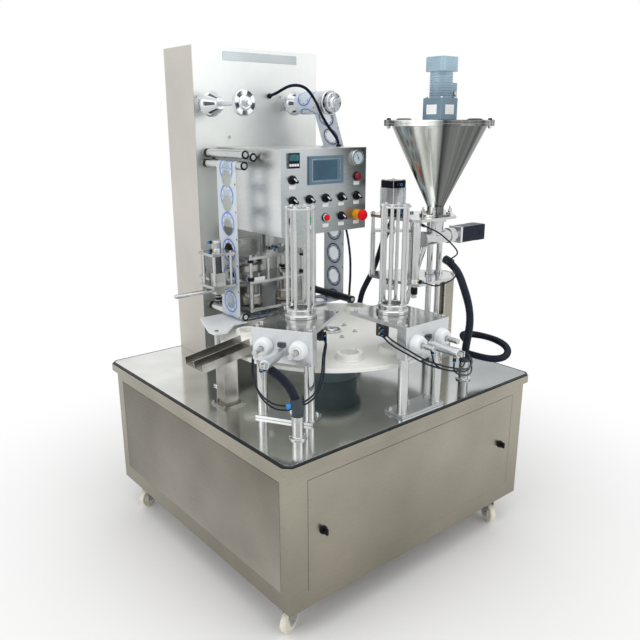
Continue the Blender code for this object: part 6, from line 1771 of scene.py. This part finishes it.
FITTING_REACH = 0.018
bases = {
    "a_cylinder_0": (local("a", 0.172, 0, 0.8205), (-0.8, 0.6, -0.6)),
    "a_cylinder_1": (local("a", 0.262, 0, 0.8205), (-0.3, 1.0, -0.5)),
    "b_cylinder_0": (local("b", 0.172, 0, 0.8205), local_axis("b", 0.1, -0.45, -1)),
    "b_cylinder_1": (local("b", 0.262, 0, 0.8205), local_axis("b", 0.1, -0.45, -1)),
}
for number, (valve, side_port, tamper) in enumerate(((0.876, 0.832, 1.148), (0.858, 0.815, 0.946))):
    bases[f"a_valve_{number}"] = local("a", 0.039, 0.094, valve), local_axis("a", 0.25, 1, -0.35)
    bases[f"b_valve_{number}"] = local("b", 0.039, -0.094, valve), local_axis("b", 1.2, -1, -0.35)
    bases[f"a_block_{number}"] = local("a", 0.136, -0.0965, side_port), local_axis("a", 0.1, -0.6, -1)
    bases[f"tamper_{number}"] = np.array([0.264, -0.262, tamper]), (0.35, -1.0, -0.3)

print("fittings with a chosen place:", len(bases))

# %% Routes of the air lines, without the cabinet's shift
AIR_LINES = {
    "a_cylinder_0": "-442 -316 801, -460 -327 806, -458 -350 800, -453 -362 793",
    "a_cylinder_1": "-492 -346 797, -482 -322 801, -464 -325 805, -453 -362 793",
    "a_block_0": "-462 -258 762, -476 -312 724, -472 -372 706, -447 -411 705, -430 -425 710",
    "a_block_1": "-456 -256 744, -468 -312 704, -464 -372 688, -443 -411 691, -430 -425 700",
    "a_valve_0": "-279 -372 810, -296 -384 752, -340 -408 718, -386 -422 708, -418 -428 712",
    "a_valve_1": "-273 -372 800, -290 -386 744, -336 -410 710, -386 -425 700, -418 -429 704",
    "b_cylinder_0": "-12 -580 776, 80 -585 735, 200 -535 712, 290 -470 708, 322 -441 709",
    "b_cylinder_1": "-10 -655 772, 90 -640 735, 210 -560 715, 292 -482 701, 322 -442 701",
    "b_valve_0": "-112 -500 856, -104 -560 838, -70 -604 810, 10 -628 776, 120 -612 742,"
    "230 -545 724, 298 -474 716, 322 -443 716",
    "b_valve_1": "-111 -500 840, -103 -560 824, -68 -600 798, 10 -622 765, 120 -606 732,"
    "230 -540 716, 300 -470 709, 323 -442 709",
    "tamper_0": "300 -330 1115, 372 -345 1050, 424 -270 1002",
    "tamper_1": "292 -330 935, 360 -350 960, 420 -285 990",
}

print("air lines:", len(AIR_LINES))

# %% Air lines, each with its fitting turned towards it
for name, route in AIR_LINES.items():
    base, slant = bases[name]
    axis = unit(slant)
    for _ in range(4):
        tip = base + FITTING_REACH * axis
        path = eased_path([tip, tip + 0.010 * axis, *mm(route)], 0.0225, 400)
        axis = unit(0.5 * axis + unit(path[6] - path[0]))
    fit_air(base + MIDDLE, axis)
    line = show(f"air_line_{name}", tube(evenly(path, 60) + MIDDLE, 0.0027), RUBBER)
    declare(line, path + MIDDLE, 0.0027)
clip = rod(at(-0.449, -0.409, 0.7015), at(-0.438, -0.417, 0.7035), 0.0085, 0.0010, 28)
show("line_clip", clip, FITTING)
show("fitting_rings", blue_rings, FITTING)
show("fitting_bodies", black_bodies, BLACK)
show("fitting_nuts", brass_nuts, BRASS)

# %% [markdown]
# ## Floor and light
# The machine stands on a plain pale floor in front of white. Three large soft panels light it. A
# large panel at a low level gives soft shadows and no hot spots on the metal, which shows the panel
# itself. A lamp's power is its level times pi times its area, so that level 1 looks white.

# %% Lights


def area_light(name, place, height, size, level):
    """A square soft light that faces a height on the machine's axis; level 1 is as bright as white."""
    lamp = bpy.data.lights.new(name, "AREA")
    lamp.size, lamp.energy = size, level * math.pi * size**2
    made = bpy.data.objects.new(name, lamp)
    made.location = place
    direction = Vector((0, 0, height)) - Vector(place)
    made.rotation_euler = direction.to_track_quat("-Z", "Y").to_euler()
    bpy.context.scene.collection.objects.link(made)


area_light("Light above", (-0.6, -0.8, 4.2), 0.8, 4.0, 1.15)
area_light("Light left", (-3.6, 0.2, 2.2), 0.8, 2.6, 1.3)
area_light("Light front", (1.4, -3.8, 2.4), 0.7, 2.6, 1.1)
print("lights:", len(bpy.data.lights))

# %% [markdown]
# The background is white to the camera, in mirrors and through clear parts. Everything else gets a
# softer grey from it, so that the shadows under the table keep their depth. The floor keeps the
# machine's shadow near it and fades to the same white further out, so that no horizon shows.

# %% Which rays see white


def sees_white(tree):
    """1 for camera, glossy and transmission rays."""
    rays = add(tree, "LightPath").outputs
    found = rays["Is Camera Ray"]
    for ray in ("Is Glossy Ray", "Is Transmission Ray"):
        found = add(tree, "Math", {0: found, 1: rays[ray]}, operation="MAXIMUM").outputs[0]
    return found


# %% Floor that fades to white
floor_mesh = bpy.data.meshes.new("Floor")
floor_mesh.from_pydata([(-30, -30, 0), (30, -30, 0), (30, 30, 0), (-30, 30, 0)], [], [(0, 1, 2, 3)])
floor = bpy.data.objects.new("Floor", floor_mesh)
bpy.context.scene.collection.objects.link(floor)
paper = bpy.data.materials.new("Floor paper")
paper.use_nodes = True
tree = paper.node_tree
matt = tree.nodes["Principled BSDF"]
connect(tree, matt, {"Base Color": (0.88, 0.88, 0.88, 1), "Roughness": 0.7})
away = add(tree, "VectorMath", {0: object_place(tree)}, operation="LENGTH").outputs["Value"]
fade = mapped(tree, away, 0.75, 1.9, interpolation_type="SMOOTHSTEP")
share = add(tree, "Math", {0: fade, 1: sees_white(tree)}, operation="MULTIPLY").outputs[0]
white = add(tree, "Emission").outputs[0]
both = add(tree, "MixShader", {"Fac": share, 1: matt.outputs[0], 2: white})
connect(tree, tree.nodes["Material Output"], {"Surface": both.outputs[0]})
floor_mesh.materials.append(paper)
floor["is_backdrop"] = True
print("floor:", paper.name)

# %% White surroundings
world = bpy.data.worlds.new("Studio")
bpy.context.scene.world = world
world.use_nodes = True
sky = world.node_tree
strength = mapped(sky, sees_white(sky), 0.0, 1.0, 0.70, 1.0)
connect(sky, sky.nodes["Background"], {"Color": (1, 1, 1, 1), "Strength": strength})
print("surroundings:", world.name)

# %% [markdown]
# ## Camera
# The camera stands where the photographer stood: to the front left, at chest height, looking a
# little down on the table.

# %% Camera
lens = bpy.data.cameras.new("Photo view")
lens.lens, lens.sensor_width = 38.13, 36.0
camera = bpy.data.objects.new("Photo view", lens)
camera.location = (-1.5714, -1.7993, 1.4891)
camera.rotation_euler = [math.radians(angle) for angle in (73.833, 0, -40.079)]
bpy.context.scene.collection.objects.link(camera)
bpy.context.scene.camera = camera
bpy.context.scene.view_settings.view_transform = "Standard"
print("camera:", camera.name, "with a lens of", lens.lens, "mm")

# %% [markdown]
# ## The dressed model's size
# The box round the dressed model is measured and printed.

# %% Measure the dressed model's box
low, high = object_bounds()
print("dressed box:", low, high)
